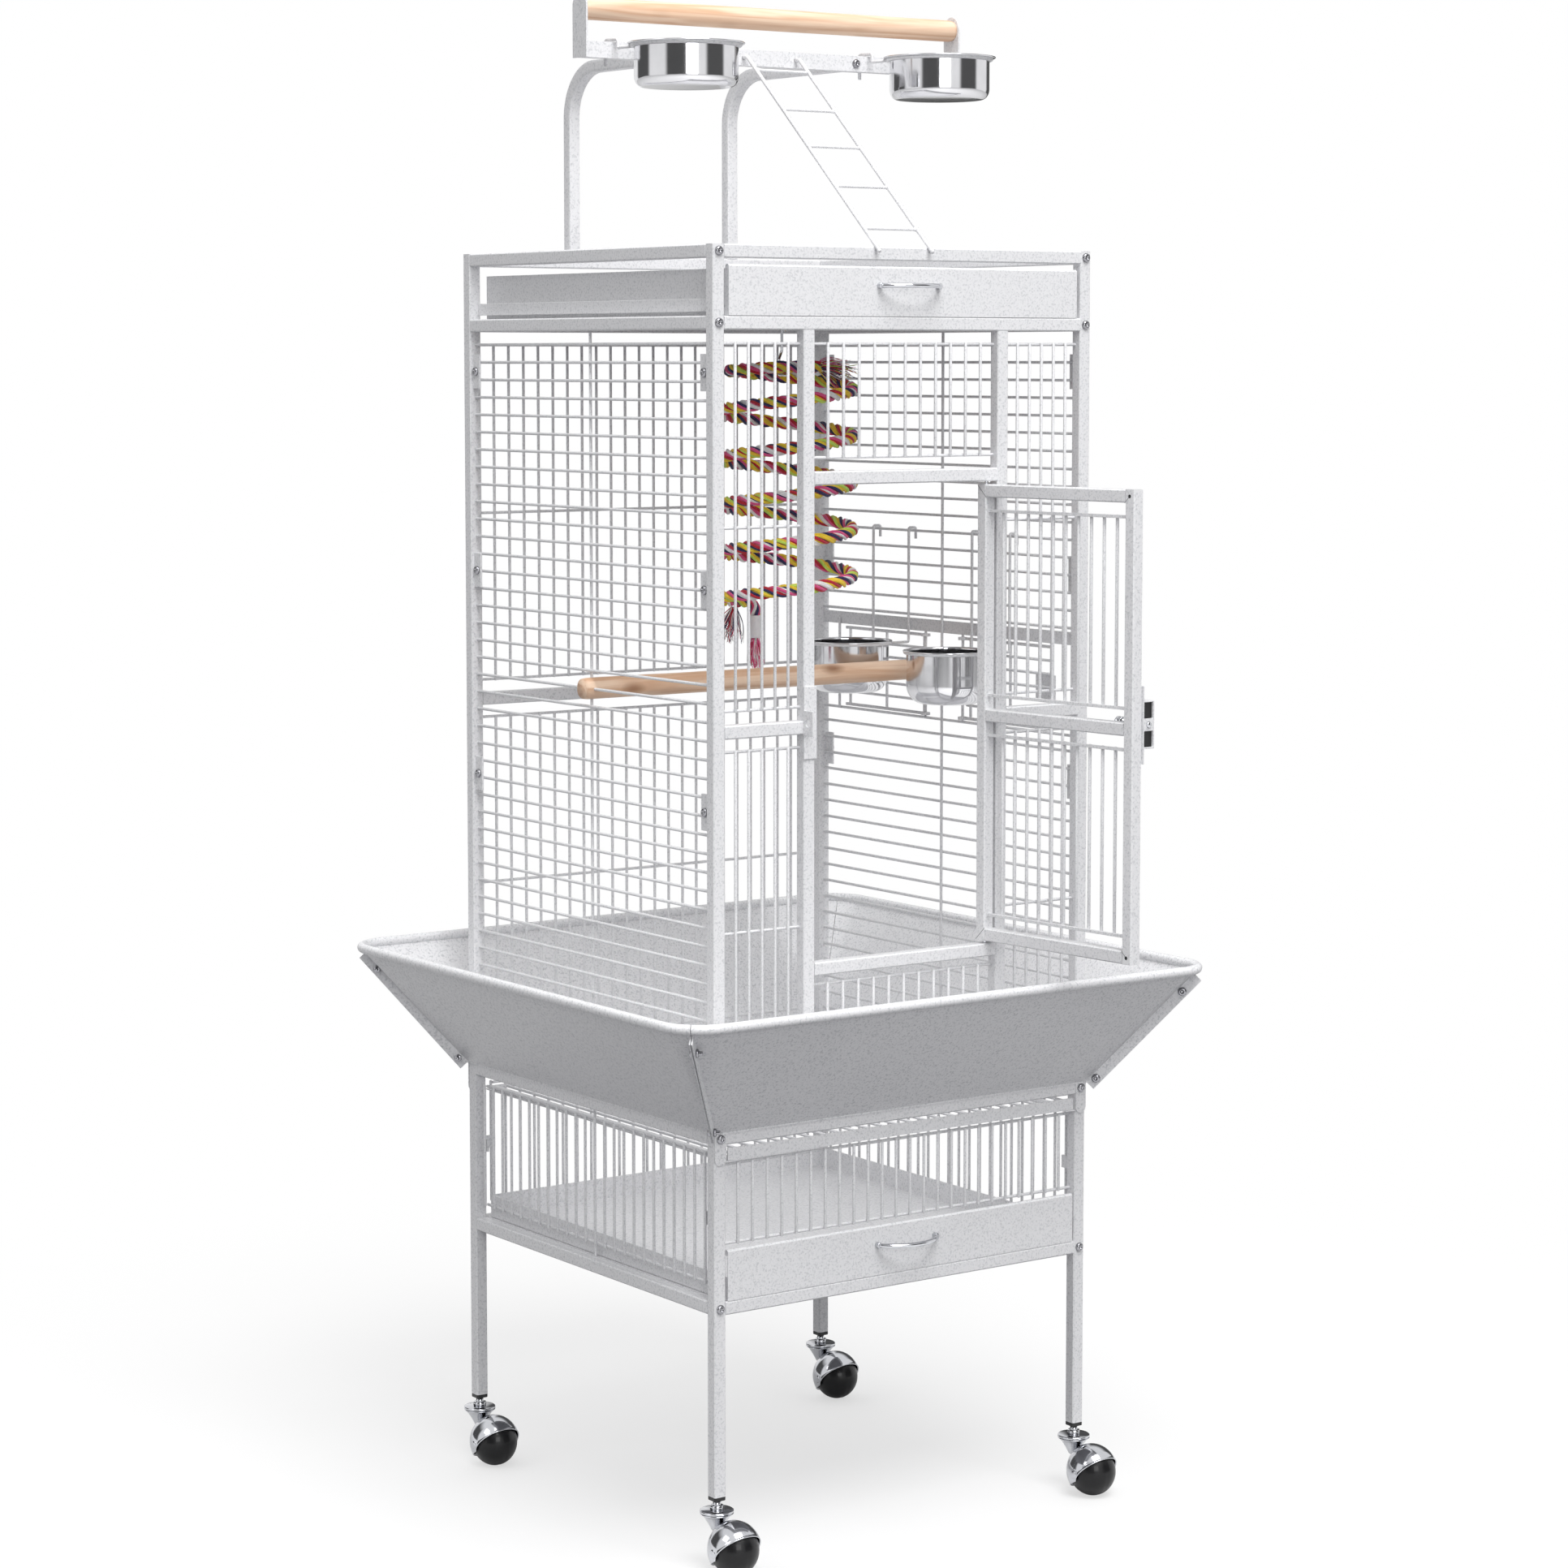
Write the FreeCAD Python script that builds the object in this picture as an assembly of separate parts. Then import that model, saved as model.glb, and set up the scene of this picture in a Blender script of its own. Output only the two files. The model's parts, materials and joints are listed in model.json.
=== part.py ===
import FreeCAD, Part
import math
import os

from FreeCAD import Rotation, Vector

# Bird cage on a wheeled stand, with a play top, four seed skirts and three pull-out trays.
# Millimetres, +Z up, +X to the right of a person who faces the door, front at -Y.
# The origin is on the floor under the middle of the part.

# Whole cage
WIDTH = 457.0
DEPTH = 457.0
TUBE = 13.0
TUBE_CORNER = 1.2
WIRE = 3.0
SHEET = 1.2
BEND_STEP_COUNT = 3
UPRIGHT_STEP_COUNT = 6
ROD_SIDE_COUNT = 8
THIN_SIDE_COUNT = 6
BOWL_SIDE_COUNT = 20

# Heights of the rails over the lower ends of the legs
LEG_END_Z = 69.5
LOWER_RAIL_RISE = 183.5
WAIST_RAIL_RISE = 348.5
SILL_RISE = 501.0
BELT_RISE = 736.0
HEADER_RISE = 974.0
MID_RAIL_RISE = 1121.4
TOP_RAIL_RISE = 1188.2

# Wire panels
SECTION_GAP = 13.0
WIRE_PITCH = 18.2
SIDE_PITCH = 17.8
FENCE_TOP_DROP = 16.0
WINDOW_WIRE_COUNT = 11
STILE_X = 117.5

# Casters
BALL_D = 50.0
BALL_SIDE_COUNT = 20
HOOD_SIDE_COUNT = 14
BAND_COUNT = 6
CASTER_TRAIL = 30.0
HOOD_GAP = 0.6
HOOD_WALL = 1.6
HOOD_LIP = 6.0
HOOD_TILT_DEG = 30.0
PLUG_H = 3.7
STEM_D = 8.0
STEM_SINK = 6.0
NUT_H = 4.5
NUT_D = 13.0
SWIVEL_DISC_D = 33.0
SWIVEL_DISC_H = 3.0
SWIVEL_DROP = 13.0
SWIVEL_GAP = 0.3
CUP_FOOT_D = 10.0
CUP_FOOT_DROP = 17.5
AXLE_D = 5.0
AXLE_FIT = 0.05
RIVET_D = 9.0
RIVET_H = 1.6

# Skirts
RIM_HALF = 325.0
RIM_RISE = 474.0
RIM_ROLL = 10.0
RIM_CORNER_R = 40.0
RIM_CORNER_COUNT = 2
SKIRT_FOOT = 2.0
SKIRT_SEAM = 0.4
SKIRT_FIN = 12.0
FIN_END_SHARE = 0.96
SKIRT_BOLT_SHARES = (0.06, 0.83)
SKIRT_TAB_H = 30.5
SKIRT_BOLT_L = 9.0

# Bolts
BOLT_HEAD_D = 9.0
BOLT_HEAD_H = 3.0
SKIRT_NUT_D = 8.0
SKIRT_NUT_H = 3.0
SKIRT_BOLT_D = 4.0

# Trays and grate
TRAY_HALF = 213.0
TOP_TRAY_HALF = 210.7
TRAY_BACK_GAP = 4.0
TRAY_REST_GAP = 0.3
TRAY_LIP = 6.0
BOTTOM_TRAY_H = 46.5
BOTTOM_TRAY_WALL_SHARE = 0.5
TOP_TRAY_H = 44.8
TOP_TRAY_WALL_SHARE = 0.98
GUARD_LOW_GAP = 4.0
GUARD_H = 12.0
HANDLE_SPAN = 77.0
HANDLE_D = 5.0
HANDLE_REACH = 22.0
HANDLE_HEIGHT_SHARE = 0.66
RUNNER_WIDTH = 12.5
RUNNER_WALL = 1.5
GRATE_FRONT_H = 12.0
GRATE_PITCH = 17.5
GRATE_RIM = 6.0

# Lower wire panels
FENCE_LOW_RISE = 245.0
FENCE_HIGH_RISE = 321.8
FENCE_WIRE_COUNT = 24
LOOP_BOTTOM_GAP = 15.5
LOOP_TOP_GAP = 11.0
LOOP_SIDE_GAP = 10.5
LOOP_WIRE_COUNT = 22
TAB_SIZE = 13.0
TAB_H = 35.0
TAB_WALL = 2.0
TAB_RISES = (659.5, 870.3, 1074.7)

# Door
DOOR_GAP = 2.75
DOOR_TOP_GAP = 3.0
DOOR_TUBE = 12.7
DOOR_OPEN_DEG = 95.0
DOOR_WIRE_COUNT = 10
DOOR_SECTION_GAP = 13.5
PIN_D = 4.0
PIN_FIT = 0.06
PIN_END_GAP = 0.5

# Latch
LATCH_W = 16.0
LATCH_H = 75.0
LATCH_WINDOW_H = 46.0
LATCH_PROUD = 15.0
LATCH_WALL = 1.5
LATCH_BOLT_D = 6.0
LATCH_KNOB_D = 11.0
LATCH_KNOB_L = 8.0
LATCH_TRAVEL = 16.0
LATCH_FIT = 0.08
LATCH_RISE = 740.5
STRIKE_W = 15.0
STRIKE_H = 70.0
STRIKE_TONGUE_H = 24.0
STRIKE_PROUD = 9.5
STRIKE_FIT = 0.5

# Feeders in the right side panel
FEED_LOW_RISE = 707.0
FEED_HIGH_RISE = 799.0
FEED_INNER = 32.0
FEED_OUTER = 183.0
FEED_DOOR_GAP = 4.0
FEED_DOOR_WIRE_COUNT = 5
HINGE_LOOP_GAP = 0.5
FEED_LATCH_W = 30.0
FEED_LATCH_H = 25.0
CUP_PITCH = 86.0
CUP_D = 86.5
CUP_H = 55.0
CUP_RIM_D = 94.0
CUP_BASE_SHARE = 0.6
CUP_ROUND_SHARE = 0.36
CUP_WALL = 1.0
CUP_RING_RISE = 789.0
CUP_RING_IN = 62.0
CUP_LEG_SPAN = 63.0
CUP_LEG_TOP_RISE = 904.0
CUP_WIRE_D = 3.0
RING_FIT = 0.25

# Play top
PLAY_X = 100.0
PLAY_TOP_RISE = 1388.5
PLAY_BEND_R = 51.0
BAR_H = 16.0
BAR_W = 13.0
BAR_HALF = 228.0
DOWEL_D = 22.0
DOWEL_RISE = 1428.0
PLATE_W = 25.0
PLATE_WALL = 2.0
PLATE_TOP_RISE = 1442.5
TOP_RING_WIRE = 3.5
TOP_RING_X = 155.0
TOP_RING_Y = 75.0
TOP_RING_LEG = 39.0
TOP_RING_PIN = 25.0
TOP_HOOK_GAP = 0.6
HOOK_BEND_SHARE = 0.7
TOP_BOWL_D = 103.0
TOP_BOWL_RIM_D = 116.0
TOP_BOWL_H = 43.0
TOP_BOWL_BASE_SHARE = 0.84
TOP_BOWL_ROUND_SHARE = 0.24
TOP_RING_RISE = 1390.5

# Ladder
LADDER_X = -8.0
LADDER_HALF = 32.0
LADDER_WIRE = 4.0
LADDER_RUNG_D = 3.2
LADDER_BEND = 7.0
LADDER_SINK = 5.0
LADDER_HOLE_FIT = 0.1
LADDER_RUNG_SHARES = (0.07, 0.278, 0.47, 0.674, 0.887)
LADDER_FOOT_REACH = 9.0

# Perches
PERCH_D = 22.0
PERCH_RISE = 760.0
PERCH_PAST = 8.0
PERCH_NOTCH = 1.0
ROPE_D = 13.0
ROPE_R = 71.0
ROPE_TURN_COUNT = 5
ROPE_PITCH = 47.5
ROPE_LOW_RISE = 836.0
ROPE_LEAD_RISE = 6.0
ROPE_TAIL = 44.0
ROPE_BEND = 14.0
ROPE_X = 14.0
CAP_WALL = 1.2
CAP_L = 24.0
CAP_COVER = 10.0
TUFT_D = 17.0
TUFT_L = 40.0
FRINGE_D = 30.0
SOFT_GAP = 0.3
TUFT_GAP = 1.8
HOOK_WIRE = 3.0

# Where the pieces meet, worked out from the sizes above
PX = WIDTH / 2 - TUBE / 2
PY = DEPTH / 2 - TUBE / 2
IN_X = PX - TUBE / 2
IN_Y = PY - TUBE / 2
OUT_X = WIDTH / 2
OUT_Y = DEPTH / 2


def at_rise(rise):
    """Height over the floor of a height over the leg ends."""
    return LEG_END_Z + rise


LOWER_Z = at_rise(LOWER_RAIL_RISE)
WAIST_Z = at_rise(WAIST_RAIL_RISE)
SILL_Z = at_rise(SILL_RISE)
BELT_Z = at_rise(BELT_RISE)
HEADER_Z = at_rise(HEADER_RISE)
MID_Z = at_rise(MID_RAIL_RISE)
TOP_Z = at_rise(TOP_RAIL_RISE)
POST_TOP_Z = TOP_Z + TUBE / 2
WAIST_TOP_Z = WAIST_Z + TUBE / 2


def box(x0, x1, y0, y1, z0, z1):
    """Block between two corners."""
    low = Vector(min(x0, x1), min(y0, y1), min(z0, z1))
    return Part.makeBox(abs(x1 - x0), abs(y1 - y0), abs(z1 - z0), low)


def place(axis, along, a, b):
    """Point given by its place along an axis and its two other coordinates."""
    if axis == "x":
        return Vector(along, a, b)
    if axis == "y":
        return Vector(a, along, b)
    return Vector(a, b, along)


def prism(axis, start, end, outline):
    """Straight bar along an axis from a closed outline in the two other directions."""
    points = [place(axis, start, a, b) for a, b in outline]
    face = Part.Face(Part.makePolygon(points + points[:1]))
    return face.extrude(place(axis, end - start, 0, 0))


def tube(axis, start, end, a, b, size=TUBE):
    """Square bar with its long edges taken off."""
    h = size / 2
    c = h - TUBE_CORNER
    corners = [(h, c), (c, h), (-c, h), (-h, c), (-h, -c), (-c, -h), (c, -h), (h, -c)]
    return prism(axis, start, end, [(a + u, b + v) for u, v in corners])


def wire(axis, start, end, a, b):
    """Straight wire along an axis, made square."""
    h = WIRE / 2
    return prism(axis, start, end, [(a + h, b + h), (a - h, b + h), (a - h, b - h), (a + h, b - h)])


def ring_points(centre, run, radius, sides):
    """Corners of a many-sided ring square to a run."""
    along = Vector(run).normalize()
    up = Vector(0, 1, 0) if abs(along.z) > math.sin(math.pi / 3) else Vector(0, 0, 1)
    first = along.cross(up).normalize()
    second = along.cross(first)
    points = []
    for i in range(sides):
        t = (2 * i + 1) / sides * math.pi
        points.append(centre.add(first * (radius * math.cos(t))).add(second * (radius * math.sin(t))))
    return points


def ring_wire(centre, run, radius, sides):
    """Closed outline through the corners of a many-sided ring."""
    points = ring_points(centre, run, radius, sides)
    return Part.makePolygon(points + points[:1])


def stud(centre, run, diameter, length, sides):
    """Many-sided bar that starts at a point."""
    along = Vector(run).normalize()
    return Part.Face(ring_wire(centre, along, diameter / 2, sides)).extrude(along * length)


def around(diameter, sides):
    """Width over the corners of a many-sided hole whose flats clear a diameter."""
    return diameter / math.cos(math.pi / sides)


def lathe(profile, base, run, sides):
    """Many-sided solid about a line, from a closed outline of radius and height pairs."""
    along = Vector(run).normalize()
    rings = []
    for r, h in profile:
        centre = base.add(along * h)
        rings.append(ring_points(centre, along, r, sides) if r > 0 else [centre])
    faces = []
    for i, low in enumerate(rings):
        high = rings[(i + 1) % len(rings)]
        if len(low) + len(high) == 2:
            continue
        if len(low) == 1 or len(high) == 1:
            cap = low if len(high) == 1 else high
            faces.append(Part.Face(Part.makePolygon(cap + cap[:1])))
            continue
        for j in range(sides):
            k = (j + 1) % sides
            faces.append(Part.Face(Part.makePolygon([low[j], high[j], high[k], low[k], low[j]])))
    shell = Part.makeShell(faces)
    shell.sewShape()
    solid = Part.makeSolid(shell)
    if solid.Volume < 0:
        solid.reverse()
    return solid


def globe(radius):
    """Outline of a many-sided globe with a flat at each end, for the lathe."""
    pairs = []
    for i in range(1, BAND_COUNT):
        t = i * math.pi / BAND_COUNT
        pairs.append((radius * math.sin(t), radius * math.cos(t)))
    return [(0, pairs[0][1])] + pairs + [(0, pairs[-1][1])]


def rod(start, end, diameter):
    """Round bar between two points."""
    run = end.sub(start)
    return Part.makeCylinder(diameter / 2, run.Length, start, run)


def bent_line(points, bend, steps):
    """The same line with each corner turned in a few short steps on one radius."""
    line = [points[0]]
    for i in range(1, len(points) - 1):
        back = points[i - 1].sub(points[i]).normalize()
        ahead = points[i + 1].sub(points[i]).normalize()
        half = back.getAngle(ahead) / 2
        first = points[i].add(back * (bend / math.tan(half)))
        centre = points[i].add(back.add(ahead).normalize() * (bend / math.sin(half)))
        axis = back.cross(ahead)
        for j in range(steps + 1):
            turn = Rotation(axis, math.degrees(-(math.pi - half * 2) * j / steps))
            point = centre.add(turn.multVec(first.sub(centre)))
            if point.distanceToPoint(line[-1]) > WIRE / 1000:
                line.append(point)
    return line + [points[-1]]


def bent_rod(points, diameter, bend, sides=THIN_SIDE_COUNT):
    """Many-sided bar that follows straight lines joined by bends of one radius."""
    line = bent_line(points, bend, BEND_STEP_COUNT)
    section = ring_wire(line[0], line[1].sub(line[0]), diameter / 2, sides)
    return Part.makePolygon(line).makePipeShell([section], True, False, 1)


NODES = {}


def save(name, solids):
    """Keep one node for the last step."""
    if not isinstance(solids, (list, tuple)):
        solids = [solids]
    shape = solids[0] if len(solids) == 1 else Part.makeCompound(solids)
    if not shape.isValid():
        print("not valid:", name)
    NODES[name] = shape


def write_nodes():
    """Set the origin on the floor under the middle of the part and write each node."""
    whole = FreeCAD.BoundBox()
    for shape in NODES.values():
        whole.add(shape.optimalBoundingBox(True, False))
    shift = Vector(0, -whole.Center.y, 0)
    print("shift to the middle:", round(shift.y, 4))
    for name, shape in NODES.items():
        shape.translate(shift)
        shape.exportStep("parts/" + name + ".step")


def spread(low, high, count):
    """Evenly spaced values, ends included."""
    step = (high - low) / (count - 1)
    return [low + i * step for i in range(count)]


# Casters: plug, stem, swivel disc, hood with its axle, ball
def caster(name, x, y):
    ball_z = BALL_D / 2
    ball_y = y - CASTER_TRAIL
    centre = Vector(x, ball_y, ball_z)
    across = Vector(1, 0, 0)
    disc_top = LEG_END_Z - SWIVEL_DROP
    disc_low = disc_top - SWIVEL_DISC_H
    foot_z = disc_low - CUP_FOOT_DROP
    # The ball's flats lie at its size, and the hood's inner flats clear its corners
    ball_r = around(BALL_D / 2, BALL_SIDE_COUNT)
    ball = lathe(globe(ball_r), centre, across, BALL_SIDE_COUNT)
    bore = Part.makeCylinder(AXLE_D / 2 + AXLE_FIT, BALL_D * 2, centre.sub(across * BALL_D), across)
    save("caster_ball_" + name, ball.cut(bore).Solids[0])
    hood_in = around(around(BALL_D / 2 + HOOD_GAP, HOOD_SIDE_COUNT), BAND_COUNT * 2)
    hood_out = hood_in + HOOD_WALL
    hood = lathe(globe(hood_out), centre, across, HOOD_SIDE_COUNT)
    neck_outline = [(0, foot_z), (CUP_FOOT_D / 2, foot_z), (SWIVEL_DISC_D / 2, disc_low), (0, disc_low)]
    neck = lathe(neck_outline, Vector(x, y, 0), Vector(0, 0, 1), HOOD_SIDE_COUNT)
    hood = hood.fuse(neck).cut(lathe(globe(hood_in), centre, across, HOOD_SIDE_COUNT))
    # It is open to the front and below
    reach = BALL_D + hood_out
    keep = box(x - reach, x + reach, ball_y - reach, ball_y + reach, ball_z - HOOD_LIP, ball_z + reach)
    keep.rotate(centre, across, -HOOD_TILT_DEG)
    guard = box(x - reach, x + reach, y - CUP_FOOT_D, y + reach, foot_z, disc_low)
    hood = hood.common(keep.fuse(guard))
    socket_d = STEM_D + AXLE_FIT * 2
    stem_low = disc_low - STEM_SINK
    hood = hood.cut(Part.makeCylinder(socket_d / 2, STEM_SINK * 2, Vector(x, y, stem_low - AXLE_FIT)))
    cheek = hood_out * math.cos(math.pi / BAND_COUNT)
    axle_half = cheek + RIVET_H / 4
    axle = Part.makeCylinder(AXLE_D / 2, axle_half * 2, centre.sub(across * axle_half), across)
    heads = []
    for side in (-1, 1):
        start = centre.add(across * (side * (cheek - RIVET_H / 2)))
        heads.append(stud(start, across * side, RIVET_D, RIVET_H, HOOD_SIDE_COUNT))
    save("caster_hood_" + name, hood.fuse([axle] + heads).removeSplitter())
    # Plug, nut, stem and disc stay on the leg
    plug = tube("z", LEG_END_Z - PLUG_H, LEG_END_Z, x, y)
    up = Vector(0, 0, 1)
    nut = stud(Vector(x, y, disc_top), up, around(NUT_D, THIN_SIDE_COUNT), NUT_H, THIN_SIDE_COUNT)
    low = Vector(x, y, disc_low + SWIVEL_GAP)
    disc = stud(low, up, SWIVEL_DISC_D, SWIVEL_DISC_H - SWIVEL_GAP, HOOD_SIDE_COUNT)
    stem = Part.makeCylinder(STEM_D / 2, LEG_END_Z - PLUG_H - stem_low, Vector(x, y, stem_low))
    return plug, disc.fuse([stem, nut]).removeSplitter()


# Bolts on the frame, their axis along a direction
def bolt_head(point, direction):
    return stud(point, direction, BOLT_HEAD_D, BOLT_HEAD_H, ROD_SIDE_COUNT)


def frame_pair(sign):
    """Front or back frame: two posts, rails between them."""
    y = sign * PY
    solids = []
    for side in (-1, 1):
        solids.append(tube("z", LEG_END_Z, POST_TOP_Z, side * PX, y))
    for z in (LOWER_Z, WAIST_Z, MID_Z, TOP_Z):
        solids.append(tube("x", -IN_X, IN_X, y, z))
    return solids


def section(x0, x1, rows, columns, y, low, high):
    """Wires of one panel facing the front or back: rows behind, columns before them."""
    solids = [wire("x", x0, x1, y + WIRE / 2, z) for z in rows]
    for x in columns:
        solids.append(wire("z", low - WIRE / 2, high + WIRE / 2, x, y - WIRE / 2))
    return solids


def build_frames():
    front = frame_pair(-1)
    stile_low = WAIST_TOP_Z
    stile_high = MID_Z - TUBE / 2
    for side in (-1, 1):
        x = side * STILE_X
        front.append(tube("z", stile_low, stile_high, x, -PY))
        inner = side * (STILE_X + TUBE / 2)
        front.append(tube("x", inner, side * IN_X, -PY, BELT_Z))
    clear = STILE_X - TUBE / 2
    pin_x = pivot_x()
    hole_r = PIN_D / 2 + PIN_FIT
    for z in (SILL_Z, HEADER_Z):
        rail = tube("x", -clear, clear, -PY, z)
        hole = Part.makeCylinder(hole_r, TUBE * 2, Vector(pin_x, -PY, z - TUBE))
        front.append(rail.cut(hole))
    save("cage_front_frame", front)
    back = frame_pair(1)
    back.append(tube("x", -IN_X, IN_X, PY, BELT_Z))
    save("cage_back_frame", back)
    sides = []
    for side in (-1, 1):
        for z in (LOWER_Z, WAIST_Z, MID_Z, TOP_Z):
            sides.append(tube("y", -IN_Y, IN_Y, side * PX, z))
    save("cage_side_rails", sides)


def pivot_x():
    """Door pivot: middle of the door's hinge stile."""
    return STILE_X - TUBE / 2 - DOOR_GAP - DOOR_TUBE / 2


def build_front_wires():
    y = -PY
    low_row = WAIST_TOP_Z + SECTION_GAP + WIRE / 2
    high_row = MID_Z - TUBE / 2 - SECTION_GAP
    below_belt = BELT_Z - TUBE / 2 - SECTION_GAP
    above_belt = BELT_Z + TUBE / 2 + SECTION_GAP
    inner = STILE_X + TUBE / 2
    gap = IN_X - inner
    columns = [inner + gap * (i + 1) / 6 for i in range(5)]
    for name, side in (("left", -1), ("right", 1)):
        solids = []
        x0 = side * inner
        x1 = side * IN_X
        places = [side * x for x in columns]
        middle = (low_row + below_belt) / 2
        solids += section(x0, x1, (low_row, middle, below_belt), places, y, low_row, below_belt)
        middle = (above_belt + high_row) / 2
        solids += section(x0, x1, (above_belt, middle, high_row), places, y, above_belt, high_row)
        save("front_wires_" + name, solids)
    clear = STILE_X - TUBE / 2
    places = spread(-clear, clear, WINDOW_WIRE_COUNT + 2)[1:-1]
    low = HEADER_Z + TUBE / 2 + SECTION_GAP
    save("front_wires_window", section(-clear, clear, (low, high_row), places, y, low, high_row))
    top = SILL_Z - FENCE_TOP_DROP
    save("front_wires_fence", section(-clear, clear, (low_row, top), places, y, low_row, top))


def build_back_wires():
    low_row = WAIST_TOP_Z + SECTION_GAP + WIRE / 2
    high_row = MID_Z - TUBE / 2 - SECTION_GAP
    below_belt = BELT_Z - TUBE / 2 - SECTION_GAP
    above_belt = BELT_Z + TUBE / 2 + SECTION_GAP
    count = round(IN_X * 2 / WIRE_PITCH)
    places = spread(-IN_X, IN_X, count + 1)[1:-1]
    solids = []
    for low, high in ((low_row, below_belt), (above_belt, high_row)):
        rows = (low, (low + high) / 2, high)
        solids += section(-IN_X, IN_X, rows, places, PY, low, high)
    save("back_wires", solids)


def tab(side, end, z):
    """Small plate at a post, on the outer face of a side panel's wires."""
    x = side * (PX + WIRE / 2)
    y = end * IN_Y
    plate = box(x, x + side * TAB_WALL, y, y - end * TAB_SIZE, z - TAB_H / 2, z + TAB_H / 2)
    return plate


def side_rows():
    """Heights of the long wires of the side panels."""
    low_row = WAIST_TOP_Z + SECTION_GAP + WIRE / 2
    high_row = MID_Z - TUBE / 2 - SECTION_GAP
    count = round((high_row - low_row) / SIDE_PITCH)
    return spread(low_row, high_row, count + 1)


def build_side_panels():
    rows = side_rows()
    upright_low = WAIST_TOP_Z
    upright_high = MID_Z - TUBE / 2
    left = [wire("y", -IN_Y, IN_Y, -PX, z) for z in rows]
    left.append(wire("z", upright_low, upright_high, -PX + WIRE, 0))
    for end in (-1, 1):
        for rise in TAB_RISES:
            left.append(tab(-1, end, at_rise(rise)))
    save("left_panel", left)
    # The right panel leaves two openings for the feeders
    low_feed = at_rise(FEED_LOW_RISE)
    high_feed = at_rise(FEED_HIGH_RISE)
    right = []
    for z in rows:
        if z < low_feed - SIDE_PITCH / 2 or z > high_feed + SIDE_PITCH / 2:
            right.append(wire("y", -IN_Y, IN_Y, PX, z))
        elif low_feed + SIDE_PITCH / 2 < z < high_feed - SIDE_PITCH / 2:
            inner = FEED_INNER - WIRE / 2
            right.append(wire("y", -inner, inner, PX, z))
    right.append(wire("y", -IN_Y, IN_Y, PX, low_feed))
    right.append(box(PX - WIRE / 2, PX + WIRE / 2, -IN_Y, IN_Y, high_feed, high_feed + TUBE))
    inside = PX - WIRE
    right.append(wire("z", upright_low, upright_high, inside, 0))
    for side in (-1, 1):
        y = side * FEED_OUTER
        right.append(wire("z", low_feed, high_feed + TUBE / 2, inside, y))
        y = side * FEED_INNER
        bar = rod(Vector(PX, y, low_feed + WIRE / 2), Vector(PX, y, high_feed), WIRE)
        right.append(bar)
    for end in (-1, 1):
        for rise in TAB_RISES:
            right.append(tab(1, end, at_rise(rise)))
    save("right_panel", right)


def build_roof_grille():
    z = MID_Z
    count = round(IN_Y * 2 / WIRE_PITCH)
    solids = []
    for y in spread(-IN_Y, IN_Y, count + 1)[1:-1]:
        solids.append(wire("x", -IN_X, IN_X, y, z - WIRE / 2))
    for x in (-IN_X / 2, IN_X / 2):
        solids.append(wire("y", -IN_Y, IN_Y, x, z + WIRE / 2))
    save("roof_grille", solids)


def build_lower_panels():
    low = at_rise(FENCE_LOW_RISE)
    high = at_rise(FENCE_HIGH_RISE)
    places = spread(-IN_X, IN_X, FENCE_WIRE_COUNT + 2)[1:-1]
    save("lower_fence", section(-IN_X, IN_X, (low, high), places, -PY, low, high))
    z0 = LOWER_Z + TUBE / 2 + LOOP_BOTTOM_GAP
    z1 = WAIST_Z - TUBE / 2 - LOOP_TOP_GAP
    reach = IN_X - LOOP_SIDE_GAP
    solids = [wire("x", -reach, reach, PY - WIRE / 2, z) for z in (z0, z1)]
    columns = spread(-reach, reach, LOOP_WIRE_COUNT + 2)
    for x in columns:
        solids.append(wire("z", z0 - WIRE / 2, z1 + WIRE / 2, x, PY + WIRE / 2))
    for z, far in ((z0, LOWER_Z + TUBE / 2), (z1, WAIST_Z - TUBE / 2)):
        solids.append(wire("z", z, far, 0, PY - WIRE * 3 / 2))
    middle = (z0 + z1) / 2
    for side in (-1, 1):
        edge = side * (reach - WIRE)
        low = middle - TAB_SIZE / 2
        solids.append(box(edge, side * IN_X, PY - TAB_WALL, PY, low, low + TAB_SIZE))
    save("lower_panel_back", solids)
    for name, side in (("left", -1), ("right", 1)):
        turned_solids = []
        for solid in solids:
            copy = solid.copy()
            copy.rotate(Vector(0, 0, 0), Vector(0, 0, 1), -side * 90)
            turned_solids.append(copy)
        save("lower_panel_" + name, turned_solids)


# Skirts: sloped sheet over the waist rail, rolled rim with round corners, a fin at each end
def skirt_run():
    """How far the sheet runs out and how far it rises."""
    return RIM_HALF - RIM_ROLL / 2 - OUT_Y, at_rise(RIM_RISE) - WAIST_TOP_Z


def seam_run():
    """How far each corner seam runs out along both sides, less the round corner."""
    run, rise = skirt_run()
    return run - RIM_CORNER_R * (1 - math.cos(math.pi / 4))


def skirt_seam(share):
    """Point of the right front seam between two skirts."""
    run, rise = skirt_run()
    r = OUT_Y + seam_run() * share
    return Vector(r, -r, WAIST_TOP_Z + rise * share)


def fin_normal():
    """Direction in which the fins stand off the right front seam."""
    run, rise = skirt_run()
    out = Vector(1, -1, 0).normalize()
    return (out * rise).sub(Vector(0, 0, seam_run() * math.sqrt(2))).normalize()


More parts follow.
